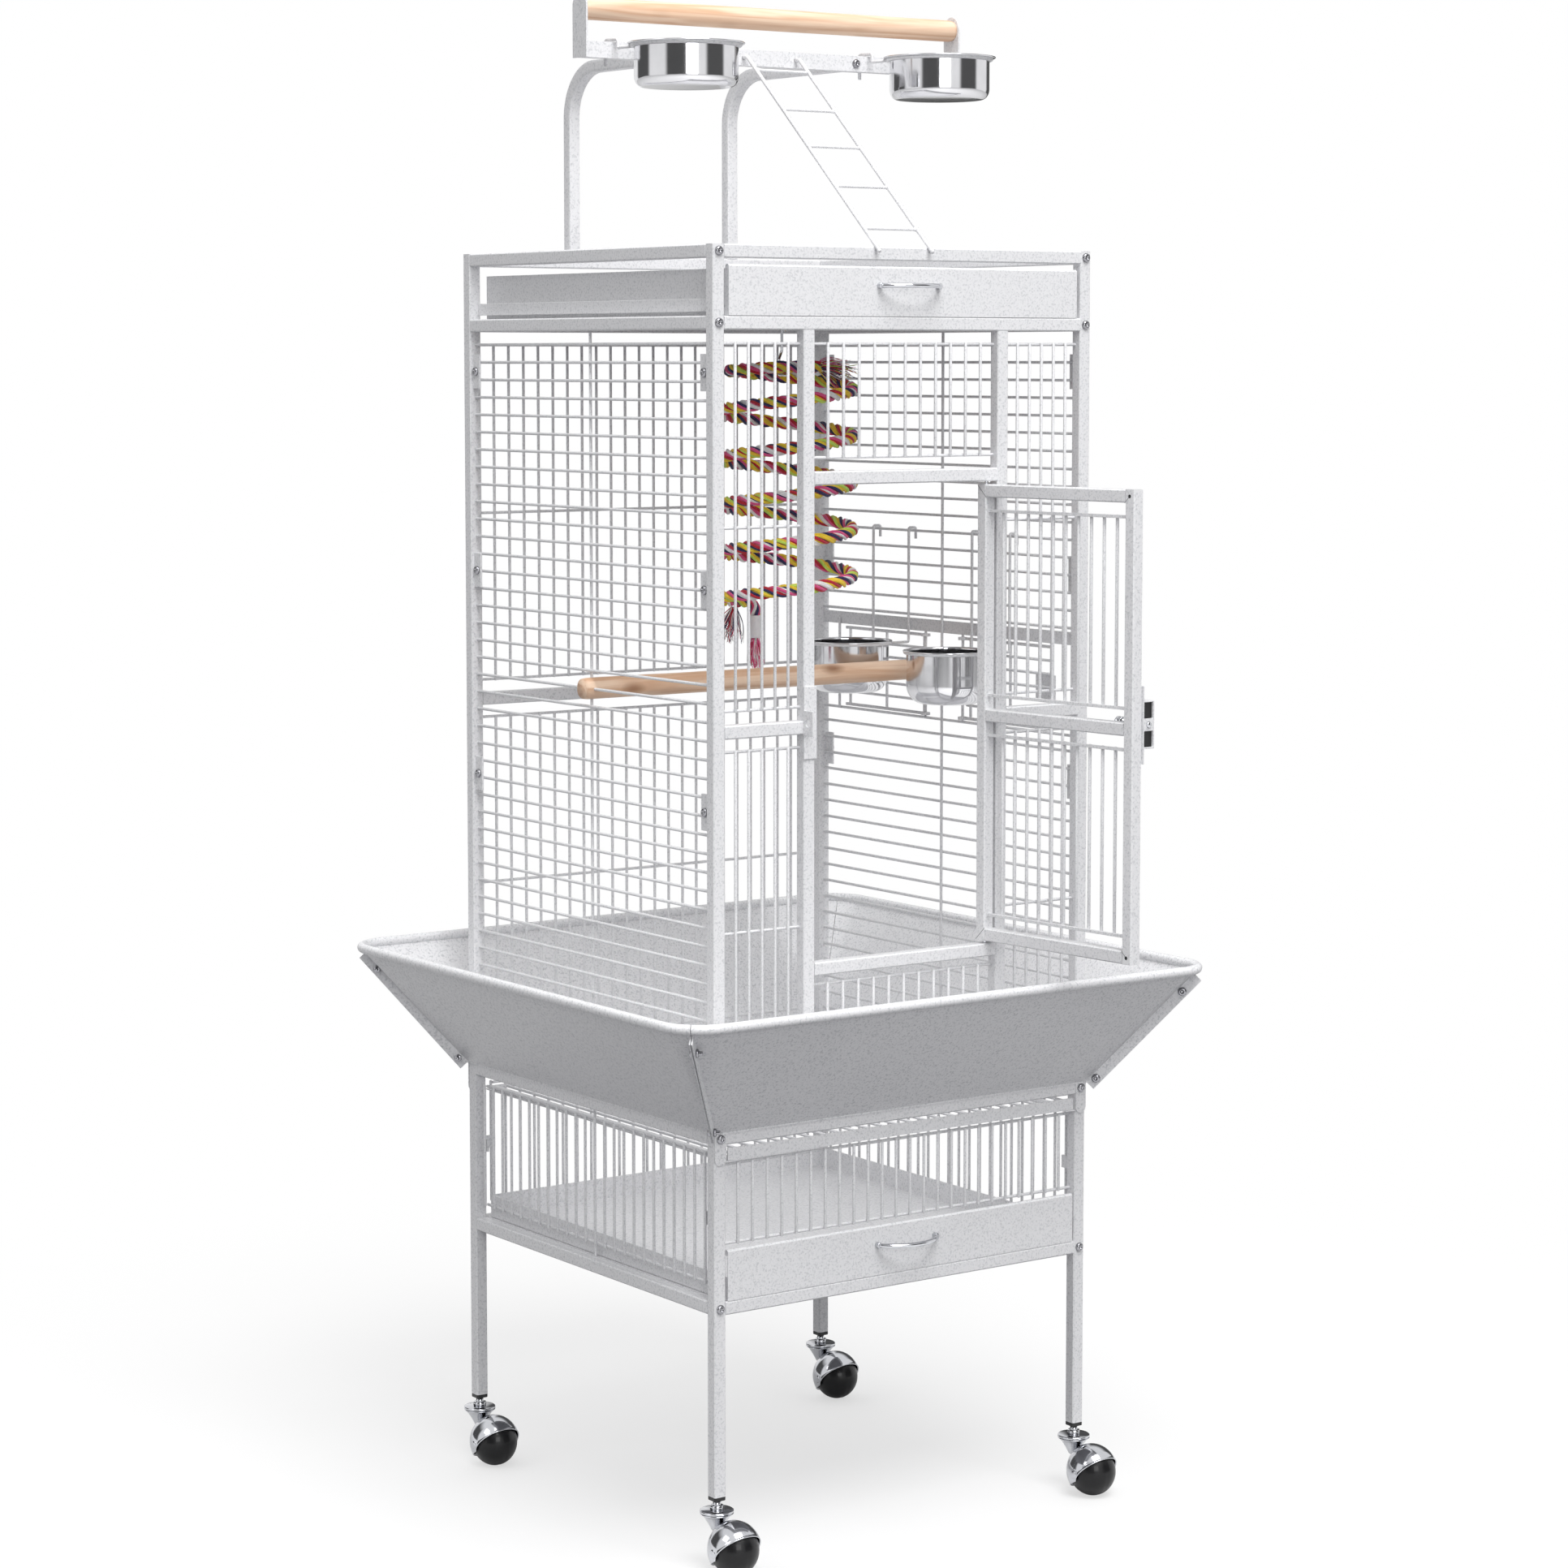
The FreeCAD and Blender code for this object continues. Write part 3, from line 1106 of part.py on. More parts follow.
def build_perches():
    z = min(side_rows(), key=lambda row: abs(row - at_rise(PERCH_RISE)))
    reach = PX + PERCH_PAST
    perch = rod(Vector(-reach, 0, z), Vector(reach, 0, z), PERCH_D)
    # Both ends are slotted over the crossing wires of the side panels
    wide = (WIRE + PERCH_NOTCH) / 2
    deep = PX - WIRE / 2 - WIRE - PERCH_NOTCH / 2
    for side in (-1, 1):
        flat = box(side * deep, side * (reach + WIRE), -PERCH_D, PERCH_D, z - wide, z + wide)
        upright = box(side * deep, side * (reach + WIRE), -wide, wide, z - PERCH_D, z + PERCH_D)
        perch = perch.cut([flat, upright])
    save("wood_perch", perch)
    # Rope perch: upright end, a quarter bend, the coil, half a bend to the axis, a tail
    low = at_rise(ROPE_LOW_RISE)
    fine = 24
    line = []
    edges = []

    def arc(points):
        """Quarter or half of a bend given by fine points."""
        middle = points[len(points) // 2]
        edges.append(Part.Arc(points[0], middle, points[-1]).toShape())
        line.extend(points if not line else points[1:])

    end = Vector(ROPE_X + ROPE_BEND, ROPE_R, low - ROPE_BEND - CAP_COVER)
    bottom = Vector(end.x, end.y, low - ROPE_BEND)
    edges.append(Part.makeLine(end, bottom))
    points = []
    for i in range(fine + 1):
        t = i / fine * math.pi / 2
        rise = low + ROPE_BEND * (math.sin(t) - 1)
        points.append(Vector(ROPE_X + ROPE_BEND * math.cos(t), ROPE_R, rise))
    arc(points)
    for quarter in range(ROPE_TURN_COUNT * 4):
        points = []
        for i in range(fine + 1):
            turn = (quarter + i / fine) / 4
            t = math.pi / 2 + turn * math.pi * 2
            rise = low + ROPE_PITCH * turn
            points.append(Vector(ROPE_X + ROPE_R * math.cos(t), ROPE_R * math.sin(t), rise))
        arc(points)
    top = low + ROPE_PITCH * ROPE_TURN_COUNT
    half = ROPE_R / 2
    for quarter in range(2):
        points = []
        for i in range(fine + 1):
            share = (quarter + i / fine) / 2
            t = math.pi / 2 + share * math.pi
            rise = top + ROPE_LEAD_RISE * share
            points.append(Vector(ROPE_X + half * math.cos(t), half + half * math.sin(t), rise))
        arc(points)
    lead = line[-1]
    heading = edges[-1].tangentAt(edges[-1].LastParameter)
    tail = lead.add(heading * ROPE_TAIL)
    edges.append(Part.makeLine(lead, tail))
    path = Part.Wire(edges)
    section = ring_wire(end, Vector(0, 0, 1), ROPE_D / 2, THIN_SIDE_COUNT)
    rope = path.makePipeShell([section], True, False)
    save("rope_perch", rope)
    least = None
    for i in range(0, len(line), 4):
        for j in range(i + fine * 2, len(line), 4):
            gap = line[i].distanceToPoint(line[j]) - ROPE_D
            if least is None or gap < least:
                least = gap
    print("least gap of the rope perch to itself:", round(least, 2))
    # Sleeve and fringe at the lower end, tuft at the upper end
    inner = ROPE_D / 2 + SOFT_GAP
    outer = inner + CAP_WALL
    cap_top = low - ROPE_BEND
    down = Vector(0, 0, -1)
    floor = CAP_COVER + SOFT_GAP
    outline = [(0, floor), (inner, floor), (inner, 0), (outer, 0), (outer, CAP_L), (0, CAP_L)]
    cap = lathe(outline, Vector(end.x, end.y, cap_top), down, HOOD_SIDE_COUNT)
    fringe_top = Vector(end.x, end.y, cap_top - CAP_L)
    fringe = lathe(cone(ROPE_D / 2, ROPE_D / 4), fringe_top, down, ROD_SIDE_COUNT)
    tuft = lathe(cone(ROPE_D / 2, TUFT_D / 2), tail.add(heading * TUFT_GAP), heading, ROD_SIDE_COUNT)
    # The spray hangs from the flat underside of the first turn, which rises along it
    rise = ROPE_PITCH * math.atan2(ROPE_D * 3 / 4, ROPE_R) / (math.pi * 2)
    under = low - ROPE_D / 2 * math.cos(math.pi / THIN_SIDE_COUNT)
    spray_at = Vector(ROPE_X - ROPE_D, ROPE_R - RING_FIT, under + rise - SOFT_GAP)
    spray = lathe(cone(ROPE_D / 4, FRINGE_D / 2), spray_at, down, ROD_SIDE_COUNT)
    save("rope_ends", [cap, fringe, tuft, spray])
    # Wire hook between a roof wire and the rope
    wire_top = MID_Z
    hx = lead.x
    drop_z = lead.z - ROPE_D / 2 - HOOK_WIRE / 2 - SOFT_GAP
    reach = ROPE_D / 2 + HOOK_WIRE / 2 + SOFT_GAP
    over = wire_top + HOOK_WIRE / 2 + SOFT_GAP
    y0 = roof_row()
    side = WIRE / 2 + HOOK_WIRE / 2 + SOFT_GAP
    points = [
        Vector(hx, y0 - side, wire_top - WIRE * 2), Vector(hx, y0 - side, over),
        Vector(hx, y0 + side, over), Vector(hx, y0 + side, lead.z + reach * 2),
        Vector(hx, reach, lead.z + reach), Vector(hx, reach, drop_z),
        Vector(hx, -reach, drop_z), Vector(hx, -reach, lead.z + reach),
    ]
    save("rope_hook", bent_rod(points, HOOK_WIRE, HOOK_WIRE * 3 / 4))


def roof_row():
    """The roof wire nearest to the middle."""
    count = round(IN_Y * 2 / WIRE_PITCH)
    rows = spread(-IN_Y, IN_Y, count + 1)[1:-1]
    return min(rows, key=abs)


def main():
    os.makedirs("parts", exist_ok=True)
    plugs = []
    stems = []
    for name, x, y in (("fl", -PX, -PY), ("fr", PX, -PY), ("bl", -PX, PY), ("br", PX, PY)):
        plug, stem = caster(name, x, y)
        plugs.append(plug)
        stems.append(stem)
    save("leg_plugs", plugs)
    save("caster_stems", stems)
    build_frames()
    build_front_wires()
    build_back_wires()
    build_side_panels()
    build_roof_grille()
    build_lower_panels()
    build_skirts()
    build_bolts()
    build_trays()
    build_door()
    build_feeders()
    build_play_top()
    build_perches()
    write_nodes()


main()
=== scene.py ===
import json
import math
import random

import bpy
import numpy as np
from bpy.props import FloatProperty, FloatVectorProperty, IntProperty, PointerProperty
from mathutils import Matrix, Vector


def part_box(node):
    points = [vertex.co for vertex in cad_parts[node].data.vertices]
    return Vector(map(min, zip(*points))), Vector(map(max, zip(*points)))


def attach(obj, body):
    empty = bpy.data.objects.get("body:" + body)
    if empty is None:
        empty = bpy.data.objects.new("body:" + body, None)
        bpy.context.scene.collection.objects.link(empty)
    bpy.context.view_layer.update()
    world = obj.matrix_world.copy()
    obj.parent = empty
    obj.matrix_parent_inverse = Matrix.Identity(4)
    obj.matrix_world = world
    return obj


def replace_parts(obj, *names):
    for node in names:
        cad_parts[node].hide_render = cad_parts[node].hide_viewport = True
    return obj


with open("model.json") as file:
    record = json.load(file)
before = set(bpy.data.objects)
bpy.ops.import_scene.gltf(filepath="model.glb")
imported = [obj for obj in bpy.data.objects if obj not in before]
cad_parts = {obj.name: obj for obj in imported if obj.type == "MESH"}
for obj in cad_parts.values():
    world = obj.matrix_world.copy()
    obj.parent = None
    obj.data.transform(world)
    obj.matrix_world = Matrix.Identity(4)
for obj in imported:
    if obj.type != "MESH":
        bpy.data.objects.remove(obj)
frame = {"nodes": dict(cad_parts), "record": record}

# Bird cage on a wheeled stand. Sizes are in metres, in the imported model's own frame.

bl_info = {
    "name": "Bird cage on a wheeled stand",
    "version": (1, 0, 0),
    "blender": (4, 5, 0),
    "location": "3D View > Sidebar > Bird Cage",
    "description": "Finishes the pieces of a bird cage, its perches and its stand",
    "category": "Object",
}

MM = 0.001
UP = Vector((0, 0, 1))
RIGHT = Vector((1, 0, 0))
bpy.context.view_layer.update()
SLOT_OF = {part["node"]: part["material_slot"] for part in frame["record"]["subparts"]}
BODY_OF = {node: body for body, nodes in frame["record"]["behaviour"]["bodies"].items() for node in nodes}
SWATCHES = {}

# Sizes that several pieces share
POST = 13.0 * MM
SPECK = 0.1 * MM
SOFT_EDGE = 0.3 * MM


# Sizes and colours that a user would change

class CageFinish(bpy.types.PropertyGroup):
    paint: FloatVectorProperty(
        name="Paint", description="White coat of the tubes, wires and sheets", subtype="COLOR",
        min=0, max=1, default=(0.82, 0.82, 0.835))
    hollow: FloatVectorProperty(
        name="Paint hollows", description="Colour in the hollows of the pebbled coat", subtype="COLOR",
        min=0, max=1, default=(0.52, 0.53, 0.55))
    pebble: FloatProperty(
        name="Pebble size", description="Distance between two hollows of the coat", unit="LENGTH",
        default=2.2 * MM)
    edge: FloatProperty(
        name="Edge rounding", description="Rounding that the coat leaves on a tube's edges", unit="LENGTH",
        default=0.5 * MM)
    steel: FloatVectorProperty(
        name="Bowl steel", description="Polished steel of the bowls", subtype="COLOR",
        min=0, max=1, default=(0.72, 0.72, 0.74))
    chrome: FloatVectorProperty(
        name="Chrome", description="Plating of handles, hoods and bolts", subtype="COLOR",
        min=0, max=1, default=(0.60, 0.61, 0.64))
    screw: FloatVectorProperty(
        name="Screws", description="Dull plating of the screws and nuts", subtype="COLOR",
        min=0, max=1, default=(0.30, 0.30, 0.32))
    rubber: FloatVectorProperty(
        name="Ball", description="Moulded caster balls and leg plugs", subtype="COLOR",
        min=0, max=1, default=(0.005, 0.005, 0.006))
    wood_pale: FloatVectorProperty(
        name="Pale wood", description="Early wood of the perches", subtype="COLOR",
        min=0, max=1, default=(0.90, 0.67, 0.50))
    wood_dark: FloatVectorProperty(
        name="Dark wood", description="Late wood and knots of the perches", subtype="COLOR",
        min=0, max=1, default=(0.72, 0.45, 0.29))


class CageRope(bpy.types.PropertyGroup):
    diameter: FloatProperty(
        name="Rope diameter", description="Across the strands", unit="LENGTH", default=13 * MM)
    radius: FloatProperty(
        name="Coil radius", description="Middle of the rope to the axis of the coil", unit="LENGTH",
        default=71 * MM)
    pitch: FloatProperty(
        name="Coil pitch", description="Rise of one turn", unit="LENGTH", default=47.5 * MM)
    turns: IntProperty(name="Turns", description="Turns of the coil", default=5)
    lay: FloatProperty(
        name="Lay", description="Length in which a strand goes once round the rope", unit="LENGTH",
        default=42 * MM)
    red: FloatVectorProperty(
        name="Red yarn", description="Dark red cotton", subtype="COLOR", min=0, max=1,
        default=(0.58, 0.015, 0.035))
    pink: FloatVectorProperty(
        name="Pink yarn", description="Pink cotton", subtype="COLOR", min=0, max=1,
        default=(0.84, 0.10, 0.28))
    yellow: FloatVectorProperty(
        name="Yellow yarn", description="Golden cotton", subtype="COLOR", min=0, max=1,
        default=(1.0, 0.70, 0.04))
    lime: FloatVectorProperty(
        name="Lime yarn", description="Light green cotton", subtype="COLOR", min=0, max=1,
        default=(0.66, 0.90, 0.14))
    navy: FloatVectorProperty(
        name="Navy yarn", description="Dark blue cotton", subtype="COLOR", min=0, max=1,
        default=(0.025, 0.025, 0.11))
    white: FloatVectorProperty(
        name="White yarn", description="Undyed cotton", subtype="COLOR", min=0, max=1,
        default=(0.95, 0.94, 0.93))


class CageStage(bpy.types.PropertyGroup):
    stand: FloatVectorProperty(
        name="Camera place", description="Where the camera stands", subtype="TRANSLATION",
        default=(-2.219, -3.0977, 1.1565))
    heading: FloatProperty(
        name="Heading", description="Camera turned to the right of +Y", subtype="ANGLE",
        default=math.radians(35.32))
    tilt: FloatProperty(
        name="Tilt", description="Camera tilted down", subtype="ANGLE", default=math.radians(5.0))
    lens: FloatProperty(
        name="Lens", description="Focal length on a 36 mm sensor", subtype="DISTANCE_CAMERA", default=86.72)
    shift: FloatProperty(
        name="Shift", description="Upward shift of the view", default=-0.06)
    key: FloatProperty(
        name="Key light", description="Power of the large lamp over the cage", unit="POWER", default=265.0)
    fill: FloatProperty(
        name="Fill light", description="Power of the lamp beside the camera", unit="POWER", default=34.0)
    side: FloatProperty(
        name="Side light", description="Power of the lamp on the left", unit="POWER", default=26.0)
    air: FloatProperty(
        name="Room light", description="Brightness of the light from all round", default=0.56)
    floor: FloatVectorProperty(
        name="Floor", description="Pale floor", subtype="COLOR", min=0, max=1,
        default=(0.88, 0.88, 0.88))
    bounce: FloatVectorProperty(
        name="Floor bounce", description="Colour of the light that the floor sends back up", subtype="COLOR",
        min=0, max=1, default=(0.15, 0.15, 0.16))


# Shapes

class Shape:
    """Points and faces of one piece before it becomes a mesh."""

    def __init__(self):
        self.points = []
        self.faces = []
        self.slots = []

    def add(self, points, faces, slot=0):
        first = len(self.points)
        self.points.extend(points)
        self.faces.extend([tuple(first + i for i in face) for face in faces])
        self.slots.extend([slot] * len(faces))

    def rings(self, rings, closed=False, slot=0):
        """Skin over rings with the same number of points; its ends are capped unless they meet."""
        sides = len(rings[0])
        count = len(rings)
        faces = []
        for i in range(count if closed else count - 1):
            a = i * sides
            b = (i + 1) % count * sides
            for j in range(sides):
                k = (j + 1) % sides
                faces.append((a + j, a + k, b + k, b + j))
        if not closed:
            faces.append(tuple(reversed(range(sides))))
            faces.append(tuple(range((count - 1) * sides, count * sides)))
        self.add([p for ring in rings for p in ring], faces, slot)


def circle(centre, a, b, radius, sides):
    """Points round a centre, in the plane of two side directions."""
    ring = []
    for j in range(sides):
        t = j / sides * math.tau
        ring.append(centre + a * (radius * math.cos(t)) + b * (radius * math.sin(t)))
    return ring


def frames_along(line, closed=False):
    """A steady pair of side directions at each point of a line."""
    count = len(line)
    runs = []
    for i in range(count):
        if closed:
            run = line[(i + 1) % count] - line[i - 1]
        else:
            run = line[min(i + 1, count - 1)] - line[max(i - 1, 0)]
        runs.append(run.normalized())
    side = runs[0].orthogonal().normalized()
    found = []
    for run in runs:
        side = (side - run * side.dot(run)).normalized()
        found.append((side.copy(), run.cross(side)))
    return found


def sweep(shape, line, radius, sides=12, closed=False, slot=0):
    """Round bar along a line; radius is one value or one for each point."""
    radii = radius if isinstance(radius, list) else [radius] * len(line)
    places = zip(line, radii, frames_along(line, closed))
    shape.rings([circle(point, a, b, r, sides) for point, r, (a, b) in places], closed, slot)


# A cut end of a wire: distance from the tip in radii, and share of the full radius
CUT_END = ((0, 0.55), (0.15, 0.82), (0.5, 1))


def blunt(shape, start, end, radius):
    """Straight wire whose cut ends are a little rounded."""
    run = (end - start).normalized()
    line = [start + run * (radius * at) for at, share in CUT_END]
    line += [end - run * (radius * at) for at, share in reversed(CUT_END)]
    radii = [radius * share for at, share in CUT_END]
    sweep(shape, line, radii + radii[::-1])


def bends(points, radius, steps=6):
    """The line through corner points with each corner rounded."""
    line = [points[0]]
    for i in range(1, len(points) - 1):
        back = (points[i - 1] - points[i]).normalized()
        ahead = (points[i + 1] - points[i]).normalized()
        half = back.angle(ahead) / 2
        cut = radius / math.tan(half)
        centre = points[i] + (back + ahead).normalized() * (radius / math.sin(half))
        first = (points[i] + back * cut - centre).normalized()
        last = (points[i] + ahead * cut - centre).normalized()
        for step in range(steps + 1):
            line.append(centre + first.slerp(last, step / steps) * radius)
    line.append(points[-1])
    return line


def turn(shape, profile, centre, axis=UP, steps=72):
    """Turned form from pairs of radius and height along an axis."""
    a = axis.orthogonal().normalized()
    b = axis.cross(a)
    shape.rings([circle(centre + axis * h, a, b, r, steps) for r, h in profile])


def in_mm(profile):
    """A profile or outline that is written in millimetres."""
    return [(x * MM, y * MM) for x, y in profile]


def softened(profile, rounds):
    """A profile with its inner corners cut again and again."""
    for _ in range(rounds):
        made = [profile[0]]
        for (r0, h0), (r1, h1) in zip(profile, profile[1:]):
            made.append((r0 * 0.75 + r1 * 0.25, h0 * 0.75 + h1 * 0.25))
            made.append((r0 * 0.25 + r1 * 0.75, h0 * 0.25 + h1 * 0.75))
        made.append(profile[-1])
        profile = made
    return profile


def slab(shape, outline, depth):
    """Flat plate: an outline and the same outline moved by its thickness."""
    count = len(outline)
    faces = [tuple(range(count)), tuple(reversed(range(count, count * 2)))]
    for i in range(count):
        j = (i + 1) % count
        faces.append((j, i, i + count, j + count))
    shape.add(list(outline) + [p + depth for p in outline], faces)


def piece(name, shape, node, finishes, smooth=True):
    """Make the object, give it its finishes and let it ride with a node's body."""
    mesh = bpy.data.meshes.new(name)
    mesh.from_pydata([tuple(p) for p in shape.points], [], shape.faces)
    mesh.validate()
    mesh.polygons.foreach_set("material_index", shape.slots[:len(mesh.polygons)])
    mesh.polygons.foreach_set("use_smooth", [smooth] * len(mesh.polygons))
    made = bpy.data.objects.new(name, mesh)
    bpy.context.scene.collection.objects.link(made)
    for finish in finishes:
        mesh.materials.append(SWATCHES[finish])
    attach(made, BODY_OF[node])
    return made


def stand_for(name, shape, node, finishes):
    """A piece that is shown instead of one node."""
    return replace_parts(piece(name, shape, node, finishes), node)


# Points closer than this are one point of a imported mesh
WELD = 0.02 * MM


def loose_parts(node):
    """The separate solids of a node: their points, and their faces as point numbers."""
    mesh = frame["nodes"][node].data
    numbers = {}
    merged = []
    points = []
    for vertex in mesh.vertices:
        key = tuple(round(c / WELD) for c in vertex.co)
        if key not in numbers:
            numbers[key] = len(points)
            points.append(vertex.co.copy())
        merged.append(numbers[key])
    parent = list(range(len(points)))

    def root(i):
        while parent[i] != i:
            parent[i] = parent[parent[i]]
            i = parent[i]
        return i

    faces = [[merged[i] for i in polygon.vertices] for polygon in mesh.polygons]
    for face in faces:
        for i in face[1:]:
            parent[root(i)] = root(face[0])
    groups = {}
    for face in faces:
        groups.setdefault(root(face[0]), []).append(face)
    found = []
    for group in groups.values():
        used = sorted({i for face in group for i in face})
        place = {i: n for n, i in enumerate(used)}
        found.append(([points[i] for i in used], [[place[i] for i in face] for face in group]))
    return found


def corners(points):
    """Lowest and highest corner of some points."""
    low = Vector([min(p[i] for p in points) for i in range(3)])
    high = Vector([max(p[i] for p in points) for i in range(3)])
    return low, high


def middle(node):
    low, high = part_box(node)
    return (low + high) / 2


def cage_middle():
    """Middle of the square cage in y."""
    return middle("cage_side_rails").y


# Share of a turned piece's length from its middle beyond which a point belongs to its end
END_SHARE = 0.42


def lie(points):
    """Middle, axis, length and kind of a small turned piece; the axis points to its wider end."""
    cloud = np.array([tuple(p) for p in points])
    axes = np.linalg.svd(cloud - cloud.mean(0), full_matrices=False)[2]
    ends = [(float((cloud @ axis).min()), float((cloud @ axis).max())) for axis in axes]
    sizes = [high - low for low, high in ends]
    order = sorted(range(3), key=lambda i: sizes[i])
    is_long = sizes[order[2]] - sizes[order[1]] > sizes[order[1]] - sizes[order[0]]
    pick = order[2] if is_long else order[0]
    out = Vector(axes[pick]).normalized()
    centre = Vector(sum((axis * (low + high) / 2 for axis, (low, high) in zip(axes, ends)), np.zeros(3)))
    wide = {1: 0.0, -1: 0.0}
    for point in points:
        along = (point - centre).dot(out)
        if abs(along) > sizes[pick] * END_SHARE:
            way = 1 if along > 0 else -1
            wide[way] = max(wide[way], (point - centre - out * along).length)
    if wide[-1] > wide[1]:
        out.negate()
    return centre, out, sizes[pick], is_long


def soften_edges(made, width, angle=math.radians(28)):
    """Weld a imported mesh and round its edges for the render."""
    weld = made.modifiers.new("weld", "WELD")
    weld.merge_threshold = WELD / 2
    bevel = made.modifiers.new("rounded edges", "BEVEL")
    bevel.width = width
    bevel.segments = 2
    bevel.limit_method = "ANGLE"
    bevel.angle_limit = angle
    bevel.harden_normals = True
    bevel.use_clamp_overlap = True


# Shader parts that several finishes share

def fill(tree, sockets, values):
    """Link or set the named sockets: each value is another socket or a plain value."""
    for key, value in values.items():
        if isinstance(value, bpy.types.NodeSocket):
            tree.links.new(value, sockets[key])
        else:
            sockets[key].default_value = value


def node(tree, kind, values=None, **settings):
    """A new shader node with its settings, and the values of its sockets."""
    made = tree.nodes.new("ShaderNode" + kind)
    for key, value in settings.items():
        setattr(made, key, value)
    fill(tree, made.inputs, values or {})
    return made


def texture(tree, kind, where, values, **settings):
    """The outputs of a texture that is read at a place."""
    return node(tree, "Tex" + kind, {"Vector": where, **values}, **settings).outputs


def sums(tree, operation, *values):
    """One step of arithmetic on sockets or plain numbers."""
    return node(tree, "Math", dict(enumerate(values)), operation=operation).outputs[0]


def stretched(tree, where, scale):
    """A place with its own scale along each axis."""
    return node(tree, "VectorMath", {0: where, 1: scale}, operation="MULTIPLY").outputs[0]


def mixed(tree, factor, a, b):
    """Mix of two colours, each a socket or a plain colour."""
    return node(tree, "Mix", {0: factor, 6: a, 7: b}, data_type="RGBA").outputs[2]


def spread(tree, value, low, high, to_low, to_high, **settings):
    """A value stretched from one range to another."""
    return node(tree, "MapRange", {0: value, 1: low, 2: high, 3: to_low, 4: to_high}, **settings).outputs[0]


def new_group(name, inputs):
    """A group with a colour, a roughness and a height to give, and the place that it is read at."""
    group = bpy.data.node_groups.new(name, "ShaderNodeTree")
    for label, kind, value in inputs:
        socket = group.interface.new_socket(label, in_out="INPUT", socket_type="NodeSocket" + kind)
        socket.default_value = value
    for label, kind in (("Color", "Color"), ("Roughness", "Float"), ("Height", "Float")):
        group.interface.new_socket(label, in_out="OUTPUT", socket_type="NodeSocket" + kind)
    given = group.nodes.new("NodeGroupInput").outputs
    sent = group.nodes.new("NodeGroupOutput").inputs
    return group, given, sent, node(group, "TexCoord").outputs["Object"]


def pebbled_group():
    group, given, sent, where = new_group("pebbled paint", [
        ("Paint", "Color", (0.8, 0.8, 0.8, 1)), ("Hollow", "Color", (0.5, 0.5, 0.5, 1)),
        ("Density", "Float", 450.0), ("Fleck", "Float", 0.5)])
    grain = texture(group, "Noise", where,
                    {"Scale": given["Density"], "Detail": 3.0, "Roughness": 0.55, "Distortion": 0.4})
    cells = texture(group, "Voronoi", where, {"Scale": given["Density"]}, feature="SMOOTH_F1")
    cloud = texture(group, "Noise", where, {"Scale": 7.0, "Detail": 2.0})
    fleck = sums(group, "MULTIPLY", spread(group, grain[0], 0.50, 0.66, 0.0, 1.0), given["Fleck"])
    coat = mixed(group, fleck, given["Paint"], given["Hollow"])
    haze = spread(group, cloud[0], 0.3, 0.7, 0.0, 0.06)
    fill(group, sent, {
        "Color": mixed(group, haze, coat, given["Hollow"]),
        "Roughness": spread(group, grain[0], 0.3, 0.7, 0.30, 0.46),
        "Height": sums(group, "MULTIPLY_ADD", cells["Distance"], -0.7, grain[0])})
    return group


SMEAR = (0.36, 0.36, 0.38, 1)


def polish_group():
    group, given, sent, where = new_group("polished metal", [
        ("Metal", "Color", (0.7, 0.7, 0.7, 1)), ("Stretch", "Vector", (1, 1, 1)), ("Smooth", "Float", 0.08)])
    lines = texture(group, "Noise", stretched(group, where, given["Stretch"]),
                    {"Scale": 1.0, "Detail": 4.0, "Roughness": 0.6})
    smear = texture(group, "Noise", where, {"Scale": 28.0, "Detail": 3.0})
    fill(group, sent, {
        "Color": mixed(group, spread(group, smear[0], 0.4, 0.75, 0.0, 0.25), given["Metal"], SMEAR),
        "Roughness": sums(group, "MULTIPLY_ADD", lines[0], 0.10, given["Smooth"]),
        "Height": lines[0]})
    return group


# Scale of each wood pattern along the perch and across it
WOOD_RINGS = (5.0, 95.0, 95.0)
WOOD_PORES = (30.0, 900.0, 900.0)
WOOD_KNOTS = (17.0, 42.0, 42.0)
KNOT = (0.30, 0.13, 0.06, 1)


def wood_group():
    group, given, sent, where = new_group("perch wood", [
        ("Pale", "Color", (0.8, 0.6, 0.4, 1)), ("Dark", "Color", (0.5, 0.3, 0.2, 1)),
        ("Knots", "Float", 1.0)])
    rings = texture(group, "Noise", stretched(group, where, WOOD_RINGS),
                    {"Scale": 1.0, "Detail": 2.0, "Distortion": 1.2})
    pores = texture(group, "Noise", stretched(group, where, WOOD_PORES), {"Scale": 1.0, "Detail": 4.0})
    spots = texture(group, "Voronoi", stretched(group, where, WOOD_KNOTS), {"Scale": 1.0, "Randomness": 1.0})
    base = mixed(group, spread(group, rings[0], 0.38, 0.66, 0.0, 1.0), given["Pale"], given["Dark"])
    knot = sums(group, "MULTIPLY", spread(group, spots["Distance"], 0.30, 0.08, 0.0, 0.85), given["Knots"])
    streak = spread(group, pores[0], 0.52, 0.74, 0.0, 0.30)
    fill(group, sent, {
        "Color": mixed(group, streak, mixed(group, knot, base, KNOT), given["Dark"]),
        "Roughness": spread(group, pores[0], 0.3, 0.7, 0.42, 0.60),
        "Height": pores[0]})
    return group


WORN_YARN = (0.92, 0.90, 0.88, 1)
YARN_SHADE = (0.03, 0.02, 0.03, 1)


